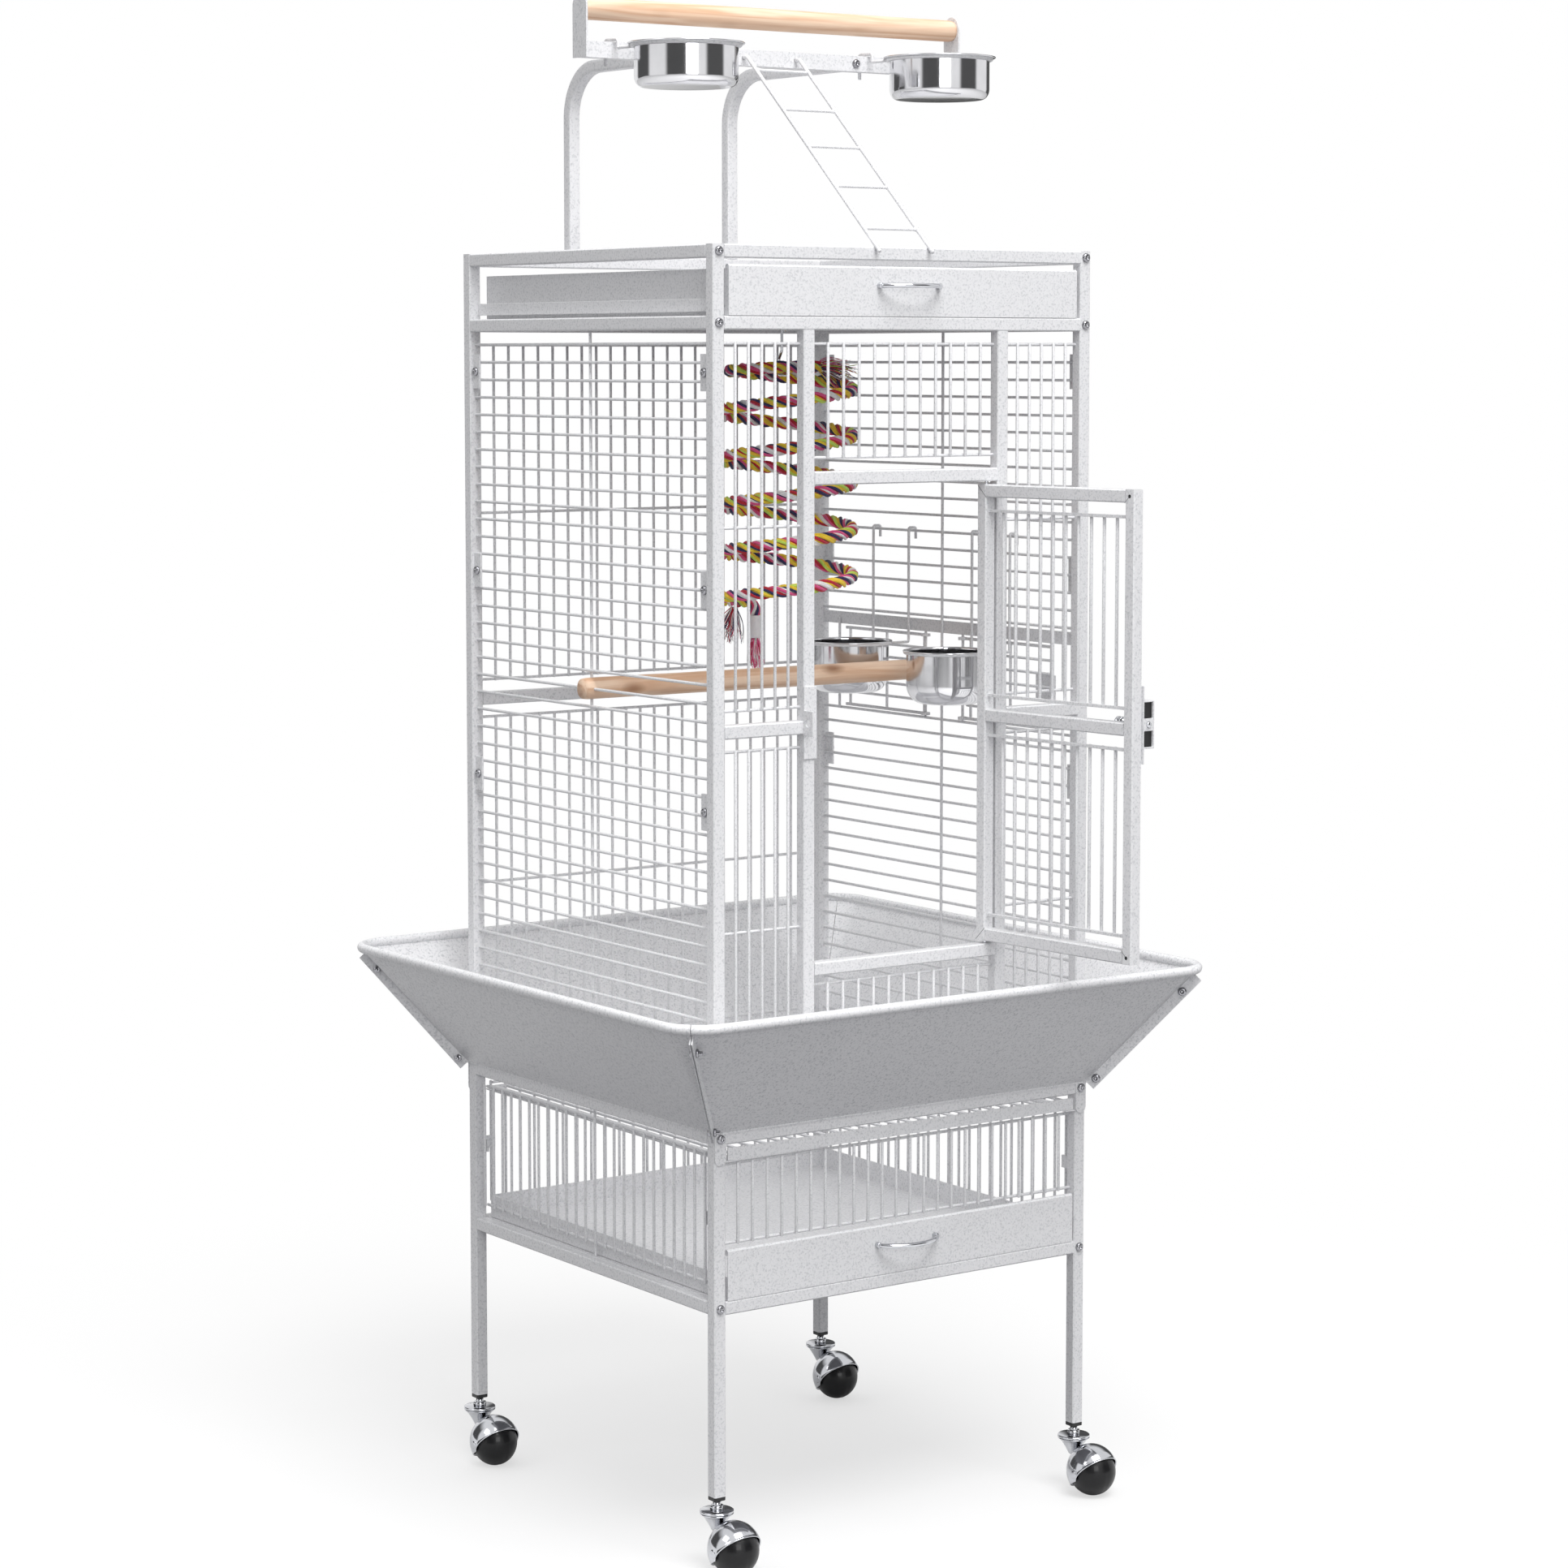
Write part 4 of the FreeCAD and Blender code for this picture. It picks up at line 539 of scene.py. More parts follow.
def yarn_group():
    group, given, sent, where = new_group("spun yarn", [
        ("Dye", "Color", (0.5, 0.5, 0.5, 1)), ("Fade", "Float", 0.25)])
    fibre = texture(group, "Noise", where, {"Scale": 1900.0, "Detail": 4.0, "Roughness": 0.7})
    patch = texture(group, "Noise", where, {"Scale": 160.0, "Detail": 2.0})
    pale = sums(group, "MULTIPLY", spread(group, fibre[0], 0.5, 0.8, 0.0, 1.0), given["Fade"])
    shade = spread(group, patch[0], 0.50, 0.8, 0.0, 0.16)
    fill(group, sent, {
        "Color": mixed(group, shade, mixed(group, pale, given["Dye"], WORN_YARN), YARN_SHADE),
        "Roughness": spread(group, fibre[0], 0.3, 0.7, 0.70, 0.92),
        "Height": fibre[0]})
    return group


def finish(name, group, values, bump, distance, constants):
    """A material from one shared group and plain values on the shader."""
    made = bpy.data.materials.new(name)
    made.use_nodes = True
    tree = made.node_tree
    part = node(tree, "Group", node_tree=group)
    for key, value in values.items():
        socket = part.inputs[key]
        socket.default_value = (*value, 1) if socket.type == "RGBA" else value
    relief = node(tree, "Bump", {"Strength": bump, "Distance": distance, "Height": part.outputs["Height"]})
    fill(tree, tree.nodes["Principled BSDF"].inputs, {
        "Base Color": part.outputs["Color"], "Roughness": part.outputs["Roughness"],
        "Normal": relief.outputs["Normal"], **constants})
    SWATCHES[name] = made


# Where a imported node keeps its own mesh, by material slot
CARRIED = {
    "frame_white": "pebbled_tube",
    "wire_white": "pebbled_wire",
    "skirt_white": "pebbled_sheet",
    "chrome": "chrome_plate",
    "bowl_steel": "bowl_steel",
    "ball_black": "caster_ball",
    "plug_black": "leg_plug",
    "wood": "dowel_wood",
    "rope": "yarn_white",
}
# Painted finishes: their specks, relief and how much finer the coat is than its plain size
PAINTED = (
    ("pebbled_tube", 0.62, 0.55, 1.0),
    ("pebbled_wire", 0.55, 0.40, 1.3),
    ("pebbled_sheet", 0.80, 0.38, 1.0),
)
YARNS = ("red", "pink", "yellow", "lime", "navy", "white")
BALL_HOLLOW = (0.008, 0.008, 0.009)
PLUG_HOLLOW = (0.03, 0.03, 0.03)
SLEEVE = (0.86, 0.86, 0.88)
SLEEVE_HOLLOW = (0.70, 0.70, 0.74)
# Depth of the relief of each kind of surface
PEBBLE_DEEP = 0.25 * MM
FINE_DEEP = 0.05 * MM
PLUG_DEEP = 0.1 * MM
WOOD_DEEP = 0.15 * MM
SLEEVE_RELIEF = 0.2 * MM
YARN_DEEP = 0.3 * MM
PAINT_GLOSS = {"Specular IOR Level": 0.45, "Coat Weight": 0.15, "Coat Roughness": 0.25}
BALL_GLOSS = {"Coat Weight": 0.25, "Coat Roughness": 0.04, "Specular IOR Level": 0.25}
YARN_GLOSS = {"Sheen Weight": 0.25, "Sheen Roughness": 0.5, "Specular IOR Level": 0.2}


class BIRDCAGE_OT_finishes(bpy.types.Operator):
    """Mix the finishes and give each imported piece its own"""
    bl_idname = "bird_cage.finishes"
    bl_label = "Finishes"

    def execute(self, context):
        look = context.scene.cage_finish
        rope = context.scene.cage_rope
        pebbled, polish, wood, yarn = pebbled_group(), polish_group(), wood_group(), yarn_group()
        coats = [
            (name, look.paint[:], look.hollow[:], dense / look.pebble, fleck, bump, PEBBLE_DEEP, PAINT_GLOSS)
            for name, fleck, bump, dense in PAINTED]
        coats += [
            ("caster_ball", look.rubber[:], BALL_HOLLOW, 900.0, 0.4, 0.04, FINE_DEEP, BALL_GLOSS),
            ("leg_plug", look.rubber[:], PLUG_HOLLOW, 1500.0, 0.5, 0.2, PLUG_DEEP, {}),
            ("shrink_sleeve", SLEEVE, SLEEVE_HOLLOW, 260.0, 0.3, 0.15, SLEEVE_RELIEF, {"Coat Weight": 0.3}),
        ]
        for name, paint, hollow, density, fleck, bump, deep, gloss in coats:
            finish(name, pebbled, {"Paint": paint, "Hollow": hollow, "Density": density, "Fleck": fleck},
                   bump, deep, gloss)
        for name, metal, lines, smooth, bump in (
                ("chrome_plate", look.chrome, (260, 260, 260), 0.06, 0.05),
                ("screw_zinc", look.screw, (300, 300, 300), 0.12, 0.08),
                ("bowl_steel", look.steel, (30, 30, 5200), 0.05, 0.06)):
            finish(name, polish, {"Metal": metal[:], "Stretch": lines, "Smooth": smooth}, bump, FINE_DEEP,
                   {"Metallic": 1.0})
        for name, knots, bump in (("dowel_wood", 0.25, 0.25), ("perch_wood", 1.0, 0.5)):
            finish(name, wood, {"Pale": look.wood_pale[:], "Dark": look.wood_dark[:], "Knots": knots},
                   bump, WOOD_DEEP, {"Specular IOR Level": 0.35})
        for name in YARNS:
            finish("yarn_" + name, yarn, {"Dye": tuple(getattr(rope, name)), "Fade": 0.25}, 0.8, YARN_DEEP,
                   YARN_GLOSS)
        for name, slot in SLOT_OF.items():
            made = frame["nodes"][name]
            made.data.materials.clear()
            made.data.materials.append(SWATCHES[CARRIED[slot]])
        return {"FINISHED"}


class BIRDCAGE_OT_frames(bpy.types.Operator):
    """Round the edges of the tubes, trays and plates"""
    bl_idname = "bird_cage.frames"
    bl_label = "Frames and trays"

    def execute(self, context):
        edge = context.scene.cage_finish.edge
        for name, slot in SLOT_OF.items():
            if slot in ("frame_white", "skirt_white", "plug_black"):
                if not name.startswith(("skirt_", "play_uprights")):
                    soften_edges(frame["nodes"][name], edge)
        return {"FINISHED"}


WIRE_NODES = (
    "front_wires_left", "front_wires_right", "front_wires_window", "front_wires_fence", "back_wires",
    "left_panel", "right_panel", "roof_grille", "lower_fence", "lower_panel_back", "lower_panel_left",
    "lower_panel_right", "grate", "door_wires", "feeder_door_front", "feeder_door_back",
)
THICKEST_WIRE = 4.4 * MM
SHORTEST_WIRE = 9 * MM


class BIRDCAGE_OT_wires(bpy.types.Operator):
    """Draw each panel wire round, with its cut ends blunted"""
    bl_idname = "bird_cage.wires"
    bl_label = "Panel wires"

    def execute(self, context):
        for name in WIRE_NODES:
            shape = Shape()
            plates = Shape()
            for points, faces in loose_parts(name):
                low, high = corners(points)
                size = high - low
                run = max(range(3), key=lambda i: size[i])
                across = sorted(size)[:2]
                if across[1] > THICKEST_WIRE or size[run] < SHORTEST_WIRE:
                    plates.add(points, faces)
                    continue
                start = (low + high) / 2
                end = start.copy()
                start[run] = low[run]
                end[run] = high[run]
                blunt(shape, start, end, across[0] / 2)
            if not shape.points:
                raise RuntimeError(name + " has no wires")
            wires = stand_for("wires_" + name, shape, name, ["pebbled_wire"])
            if plates.points:
                flat = piece("plates_" + name, plates, name, ["pebbled_tube"], smooth=False)
                soften_edges(flat, SOFT_EDGE)
                flat.parent = wires
                flat.matrix_parent_inverse = wires.matrix_world.inverted()
        return {"FINISHED"}


BOWL_BEAD = 1.5 * MM
BOWL_WALL = 1.0 * MM
BOWL_STEP = 0.6 * MM
# Each bowl: its width inside the rim, its flat floor and its rounded foot as shares
BOWLS = (
    ("cup_front", 0.92, 0.60, 0.36),
    ("cup_back", 0.92, 0.60, 0.36),
    ("top_bowl_left", 0.888, 0.84, 0.24),
    ("top_bowl_right", 0.888, 0.84, 0.24),
)


def bowl_profile(radius, height, rim, base_share, round_share):
    """Half section of a bowl from the middle of its floor, over the rim and back inside."""
    bead, wall = BOWL_BEAD, BOWL_WALL
    foot = []
    inside = []
    for i in range(13):
        t = math.pi / 2 * i / 12
        r = radius * (base_share + (1 - base_share) * math.sin(t))
        h = height * round_share * (1 - math.cos(t))
        foot.append((r, h))
        inside.append((r - wall * math.sin(t), h + wall * math.cos(t)))
    # Close pairs of points keep the wall straight in the shading
    lip = [(radius, height * round_share + BOWL_STEP), (radius, height * 0.6), (radius, height - bead * 2.4),
           (radius, height - bead * 1.7), (radius + BOWL_STEP / 2, height - bead * 1.1),
           (rim - bead * 0.6, height - bead)]
    for i in range(9):
        t = -math.pi / 2 + math.pi * i / 8
        lip.append((rim - bead / 2 + bead / 2 * math.cos(t), height - bead / 2 + bead / 2 * math.sin(t)))
    lip += [(radius, height), (radius - wall * 0.6, height - BOWL_STEP / 2), (radius - wall, height - bead),
            (radius - wall, height - bead * 1.6), (radius - wall, height * 0.6),
            (radius - wall, height * round_share + wall + BOWL_STEP)]
    return [(SPECK, 0)] + foot + lip + inside[::-1] + [(SPECK, wall)]


class BIRDCAGE_OT_bowls(bpy.types.Operator):
    """Spin the four steel bowls with their rolled rims"""
    bl_idname = "bird_cage.bowls"
    bl_label = "Bowls"

    def execute(self, context):
        for name, wall_share, base, foot in BOWLS:
            low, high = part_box(name)
            rim = (high.y - low.y) / 2
            centre = Vector(((low.x + high.x) / 2, (low.y + high.y) / 2, low.z))
            shape = Shape()
            turn(shape, bowl_profile(rim * wall_share, high.z - low.z, rim, base, foot), centre, steps=96)
            stand_for("spun_" + name, shape, name, ["bowl_steel"])
        return {"FINISHED"}


HOLDER_WIRE = 3.0 * MM
HOLDER_SPAN = 63.0 * MM
HOLDER_HOOK = 12.0 * MM
HOLDER_PLAY = 0.25 * MM
RING_WIRE = 3.5 * MM
RING_SPAN = 78.0 * MM
RING_PIN = 25.0 * MM
RIM_SEAT = 1.0 * MM
BAR_DEEP = 13.0 * MM


class BIRDCAGE_OT_holders(bpy.types.Operator):
    """Bend the wire rings that hold the bowls, with their hooked legs"""
    bl_idname = "bird_cage.holders"
    bl_label = "Bowl rings"

    def execute(self, context):
        for end in ("front", "back"):
            name = "cup_holder_" + end
            low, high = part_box(name)
            radius = (high.y - low.y) / 2 - HOLDER_WIRE / 2
            top = high.z - HOLDER_WIRE / 2
            hook_x = high.x - HOLDER_WIRE / 2
            leg_x = hook_x - HOLDER_WIRE * 3 - HOLDER_PLAY
            shape, cup, start = self.ring("cup_" + end, radius, HOLDER_WIRE, HOLDER_SPAN)
            for side in (-1, 1):
                y = cup.y + side * HOLDER_SPAN / 2
                self.leg(shape, [Vector((x, y, z)) for x, z in (
                    (cup.x + start, cup.z), (leg_x, cup.z), (leg_x, top), (hook_x, top),
                    (hook_x, top - HOLDER_HOOK))], HOLDER_WIRE)
            stand_for("bent_" + name, shape, name, ["pebbled_wire"])
        front = middle("play_crossbar").y - BAR_DEEP
        for side in ("left", "right"):
            name = "top_ring_" + side
            low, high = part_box(name)
            radius = (high.x - low.x) / 2 - RING_WIRE / 2
            top = high.z - RING_WIRE / 2
            behind = high.y - RING_WIRE / 2
            shape, bowl, start = self.ring("top_bowl_" + side, radius, RING_WIRE, RING_SPAN)
            for way in (-1, 1):
                x = bowl.x + way * RING_SPAN / 2
                self.leg(shape, [Vector((x, y, z)) for y, z in (
                    (bowl.y + start, bowl.z), (front, bowl.z), (front, top), (behind, top),
                    (behind, top - RING_PIN))], RING_WIRE)
            stand_for("bent_" + name, shape, name, ["pebbled_wire"])
        return {"FINISHED"}

    def ring(self, bowl, radius, wire, span):
        """Level ring under a bowl's rim, its middle, and how far out its legs start."""
        shape = Shape()
        centre = middle(bowl)
        centre.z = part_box(bowl)[1].z - RIM_SEAT - wire / 2
        sweep(shape, circle(centre, RIGHT, UP.cross(RIGHT), radius, 96), wire / 2, closed=True)
        return shape, centre, math.sqrt(radius ** 2 - (span / 2) ** 2)

    def leg(self, shape, points, wire):
        sweep(shape, bends(points, wire * 0.7, 5), wire / 2, 10)


# Tray handle: a bow whose ends stand in turned collars
HANDLE_WIRE = 2.3 * MM
HANDLE_STAND = 5.0 * MM
COLLAR = ((0, 0), (1.22, 0), (1.22, 1.6), (1.05, 2.0), (1.05, 2.5), (1.22, 2.9), (1.22, 4.6), (0.9, 5))
LADDER_WIRE = 4.0 * MM
LADDER_HALF = 32.0 * MM
LADDER_SINK = 5.0 * MM
LADDER_RUNG = 3.2 * MM
LADDER_RUNGS = (0.07, 0.278, 0.47, 0.674, 0.887)
LADDER_HEAD_Z = 1458.0 * MM
LADDER_HEAD_OUT = 13.5 * MM
# A weld bead thickens each end of a rung: place along its half, and share of its radius
WELD_BEAD = ((1, 1.35), (0.93, 1.15), (0.88, 1))
UPRIGHT_BEND = 51.0 * MM
UPRIGHT_EDGE = 0.4 * MM
UPRIGHT_CREASE = math.radians(50)
# Power of the rounded square that a bent tube has as its section
SQUARENESS = 9
HOOK_WIRE = 1.5 * MM


class BIRDCAGE_OT_bars(bpy.types.Operator):
    """Bend the handles, the ladder, the play top's uprights and the rope's hook"""
    bl_idname = "bird_cage.bars"
    bl_label = "Bent bars"

    def execute(self, context):
        for name in ("bottom_tray_handle", "top_tray_handle"):
            self.handle(name)
        self.ladder()
        self.uprights()
        self.hook()
        return {"FINISHED"}

    def handle(self, name):
        low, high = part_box(name)
        at = (low + high) / 2
        r = HANDLE_WIRE
        half = (high.x - low.x) / 2 - r * 1.3
        rise = high.y - low.y - r - HANDLE_STAND
        bow = (half * half + rise * rise) / (2 * rise)
        turned = math.asin(half / bow)
        line = []
        for i in range(33):
            t = turned * (i / 16 - 1)
            line.append(Vector((at.x + bow * math.sin(t), low.y + r + bow * (1 - math.cos(t)), at.z)))
        ends = [Vector((at.x + side * half, high.y, at.z)) for side in (-1, 1)]
        shape = Shape()
        sweep(shape, ends[:1] + line + ends[1:], r, 20)
        collar = [(max(share * r, SPECK), h * MM) for share, h in COLLAR]
        for end in ends:
            turn(shape, collar, end, Vector((0, -1, 0)), 28)
        stand_for("bow_" + name, shape, name, ["chrome_plate"])

    def ladder(self):
        low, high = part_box("ladder")
        at = RIGHT * ((low.x + high.x) / 2)
        bar = middle("play_crossbar").y
        foot = Vector((0, low.y + LADDER_WIRE / 2, low.z + LADDER_WIRE / 2))
        head = Vector((0, bar - LADDER_HEAD_OUT, LADDER_HEAD_Z))
        tip = Vector((0, bar - BAR_DEEP / 2 + LADDER_SINK, LADDER_HEAD_Z))
        last = foot + (foot - head).normalized() * (LADDER_WIRE * 0.2)
        shape = Shape()
        for side in (-1, 1):
            x = at + RIGHT * (side * LADDER_HALF)
            line = bends([tip + x, head + x, foot + x], LADDER_WIRE)
            sweep(shape, line + [last + x], [LADDER_WIRE / 2] * len(line) + [LADDER_WIRE * 0.35], 14)
        reach = RIGHT * (LADDER_HALF - LADDER_WIRE * 0.3)
        for share in LADDER_RUNGS:
            point = head.lerp(foot, share) + at
            line = [point - reach * part for part, fat in WELD_BEAD]
            line += [point + reach * part for part, fat in reversed(WELD_BEAD)]
            radii = [LADDER_RUNG / 2 * fat for part, fat in WELD_BEAD]
            sweep(shape, line, radii + radii[::-1])
        stand_for("welded_ladder", shape, "ladder", ["pebbled_wire"])

    def uprights(self):
        low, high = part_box("play_uprights")
        half = POST / 2
        shape = Shape()
        for x in (low.x + half, high.x - half):
            line = bends([Vector((x, high.y - half, low.z)), Vector((x, high.y - half, high.z - half)),
                          Vector((x, low.y, high.z - half))], UPRIGHT_BEND, 20)
            rings = []
            for i, point in enumerate(line):
                run = (line[min(i + 1, len(line) - 1)] - line[max(i - 1, 0)]).normalized()
                other = run.cross(RIGHT)
                ring = []
                for j in range(32):
                    t = math.tau * j / 32
                    c, d = math.cos(t), math.sin(t)
                    reach = half / (abs(c) ** SQUARENESS + abs(d) ** SQUARENESS) ** (1 / SQUARENESS)
                    ring.append(point + RIGHT * (c * reach) + other * (d * reach))
                rings.append(ring)
            shape.rings(rings)
        made = stand_for("bent_uprights", shape, "play_uprights", ["pebbled_tube"])
        soften_edges(made, UPRIGHT_EDGE, UPRIGHT_CREASE)

    def hook(self):
        low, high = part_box("rope_hook")
        at = (low + high) / 2
        r = HOOK_WIRE
        reach = (high.y - low.y) / 2 - r
        side = r * 2.2
        top = high.z - r
        drop = low.z + r
        points = [Vector((at.x, at.y + y, z)) for y, z in (
            (-side, top - side * 2.4), (-side, top), (side, top), (side, drop + reach * 3),
            (reach, drop + reach * 2), (reach, drop), (-reach, drop), (-reach, drop + reach * 2))]
        shape = Shape()
        sweep(shape, bends(points, r * 1.5, 5), r * 0.96)
        stand_for("bent_rope_hook", shape, "rope_hook", ["chrome_plate"])


PERCH_STEPS = 120
PERCH_SIDES = 40
PERCH_WAVES = 9
PERCH_THIN = 0.02
PERCH_BUMP = 0.06
# Shares of the radius at a perch's cut end and one step in
PERCH_END = {0: 0.93, 1: 0.985}


class BIRDCAGE_OT_wood(bpy.types.Operator):
    """Turn the play dowel and the branch-like perch"""
    bl_idname = "bird_cage.wood"
    bl_label = "Wooden perches"

    def execute(self, context):
        chance = random.Random(4)
        for name, finish_name, rough in (
                ("play_dowel", "dowel_wood", 0.0), ("wood_perch", "perch_wood", 1.0)):
            low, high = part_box(name)
            radius = (high.z - low.z) / 2
            at = (low + high) / 2
            waves = [(chance.uniform(18, 60), chance.uniform(0, 6), chance.choice((0, 1, 2, 3)))
                     for _ in range(PERCH_WAVES)]
            rings = []
            for i in range(PERCH_STEPS + 1):
                x = low.x + (high.x - low.x) * i / PERCH_STEPS
                shrink = PERCH_END.get(min(i, PERCH_STEPS - i), 1.0)
                ring = []
                for j in range(PERCH_SIDES):
                    t = j / PERCH_SIDES * math.tau
                    bump = sum(math.sin(x * f + p + k * t) for f, p, k in waves) / PERCH_WAVES
                    r = radius * shrink * (1 - PERCH_THIN * rough - PERCH_BUMP * rough * abs(bump))
                    ring.append(Vector((x, at.y + r * math.cos(t), at.z + r * math.sin(t))))
                rings.append(ring)
            shape = Shape()
            shape.rings(rings)
            stand_for("turned_" + name, shape, name, [finish_name])
        return {"FINISHED"}


# Rope perch: coil about an upright axis, a half turn to the axis and a short tail
ROPE_AXIS_X = 14 * MM
ROPE_BEND = 14 * MM
ROPE_LOW_Z = 905.5 * MM
ROPE_LEAD_RISE = 6 * MM
ROPE_TAIL = 44 * MM
ROPE_COVER = 10 * MM
ROPE_STEP = 3 * MM
TURN_POINTS = 20
LEAD_POINTS = 8


def rope_route(rope):
    """Control points of the rope from the upper end down to the sleeve."""
    y = cage_middle()
    x = ROPE_AXIS_X
    r = rope.radius
    points = [
        (x + ROPE_BEND, y + r, ROPE_LOW_Z - ROPE_BEND - ROPE_COVER),
        (x + ROPE_BEND, y + r, ROPE_LOW_Z - ROPE_BEND / 2),
        (x + ROPE_BEND / 2, y + r, ROPE_LOW_Z),
    ]
    for i in range(rope.turns * TURN_POINTS + 1):
        share = i / TURN_POINTS
        t = math.pi / 2 + share * math.tau
        points.append((x + r * math.cos(t), y + r * math.sin(t), ROPE_LOW_Z + rope.pitch * share))
    top = ROPE_LOW_Z + rope.pitch * rope.turns
    for i in range(1, LEAD_POINTS + 1):
        share = i / LEAD_POINTS
        t = math.pi / 2 + math.pi * share
        points.append((x + r / 2 * math.cos(t), y + r / 2 * (1 + math.sin(t)), top + ROPE_LEAD_RISE * share))
    points.append((x + ROPE_TAIL, y, top + ROPE_LEAD_RISE))
    return points[::-1]


def smooth_line(points):
    """Points along the NURBS spline that the control points steer."""
    curve = bpy.data.curves.new("rope route", "CURVE")
    curve.dimensions = "3D"
    curve.resolution_u = 12
    spline = curve.splines.new("NURBS")
    spline.points.add(len(points) - 1)
    for place, point in zip(spline.points, points):
        place.co = (*point, 1)
    spline.order_u = 3
    spline.use_endpoint_u = True
    holder = bpy.data.objects.new("rope route", curve)
    bpy.context.scene.collection.objects.link(holder)
    bpy.context.view_layer.update()
    mesh = bpy.data.meshes.new_from_object(holder)
    line = [v.co.copy() for v in mesh.vertices]
    bpy.data.objects.remove(holder)
    bpy.data.meshes.remove(mesh)
    return line


def even_steps(line, step):
    """The line again, with its points one step apart."""
    made = [line[0]]
    spare = 0.0
    for a, b in zip(line, line[1:]):
        length = (b - a).length
        at = step - spare
        while at <= length:
            made.append(a.lerp(b, at / length))
            at += step
        spare = (spare + length) % step
    if (made[-1] - line[-1]).length > step / 4:
        made.append(line[-1])
    return made


# The strands of the rope: each row is one strand, each word one of its yarns
STRANDS = (
    ("yellow", "lime", "yellow"),
    ("red", "pink", "navy"),
    ("white", "white", "pink"),
    ("red", "navy", "yellow"),
)
# Shares: strand of the rope, yarn of the strand, and how deep neighbouring yarns press in
STRAND_SHARE = 0.43
YARN_SHARE = 0.60
YARN_PRESS = 0.86
# Length in which a yarn goes round its strand, against the rope's lay
YARN_LAY = 1.7
THREAD = 0.55 * MM
THREAD_CURL = 4 * MM
SPRAY_BACK = 13 * MM
SPRAY_DROP = 5 * MM
# Tassels: threads, their length, their width at root and tip, their yarns and their droop
SLEEVE_TASSEL = (46, 40 * MM, (4 * MM, 6 * MM), ("pink", "pink", "red", "white"), 0)
SPRAY_TASSEL = (90, 38 * MM, (3 * MM, 15 * MM), ("red", "pink", "navy", "white", "white"), 0)
TIP_TASSEL = (110, 42 * MM, (5 * MM, 14 * MM), ("red", "pink", "navy", "yellow", "lime", "white"), 6 * MM)
SLEEVE_WALL = 1.5 * MM
SLEEVE_DEEP = 24 * MM
SLEEVE_EDGE = 1.0 * MM


def laid_yarn(line, sides, rope, number, part, count):
    """Path of one yarn round its strand while the strand goes round the rope."""
    strand_r = rope.diameter / 2 * STRAND_SHARE
    strand_out = rope.diameter / 2 - strand_r
    yarn_out = strand_r - strand_r * YARN_SHARE * YARN_PRESS
    path = []
    travel = 0.0
    for i, (point, (a, b)) in enumerate(zip(line, sides)):
        if i:
            travel += (point - line[i - 1]).length
        t = number / len(STRANDS) * math.tau + travel / rope.lay * math.tau
        out = a * math.cos(t) + b * math.sin(t)
        round_way = b * math.cos(t) - a * math.sin(t)
        u = part / count * math.tau - travel / (rope.lay * YARN_LAY) * math.tau
        path.append(point + out * (strand_out + yarn_out * math.cos(u))
                    + round_way * (yarn_out * math.sin(u)))
    return path


def tassel(shape, chance, start, along, count, length, wide, colours, droop):
    """Loose threads that leave one end of the rope."""
    along = along.normalized()
    side = along.orthogonal().normalized()
    other = along.cross(side)
    for _ in range(count):
        t = chance.uniform(0, math.tau)
        out = chance.uniform(0, 1) ** 0.7
        root = start + (side * math.cos(t) + other * math.sin(t)) * (out * wide[0])
        way = (side * math.cos(t) + other * math.sin(t)) * (out * wide[1])
        curl = Vector([chance.uniform(-1, 1) for _ in range(3)]) * THREAD_CURL
        reach = length * chance.uniform(0.6, 1.0)
        line = []
        for i in range(8):
            s = i / 7
            line.append(root + along * (reach * s) + way * s ** 1.3 + curl * math.sin(s * 3.1)
                        - UP * (droop * s * s))
        radii = [THREAD * (1 - 0.55 * i / 7) for i in range(8)]
        sweep(shape, line, radii, 5, slot=YARNS.index(chance.choice(colours)))


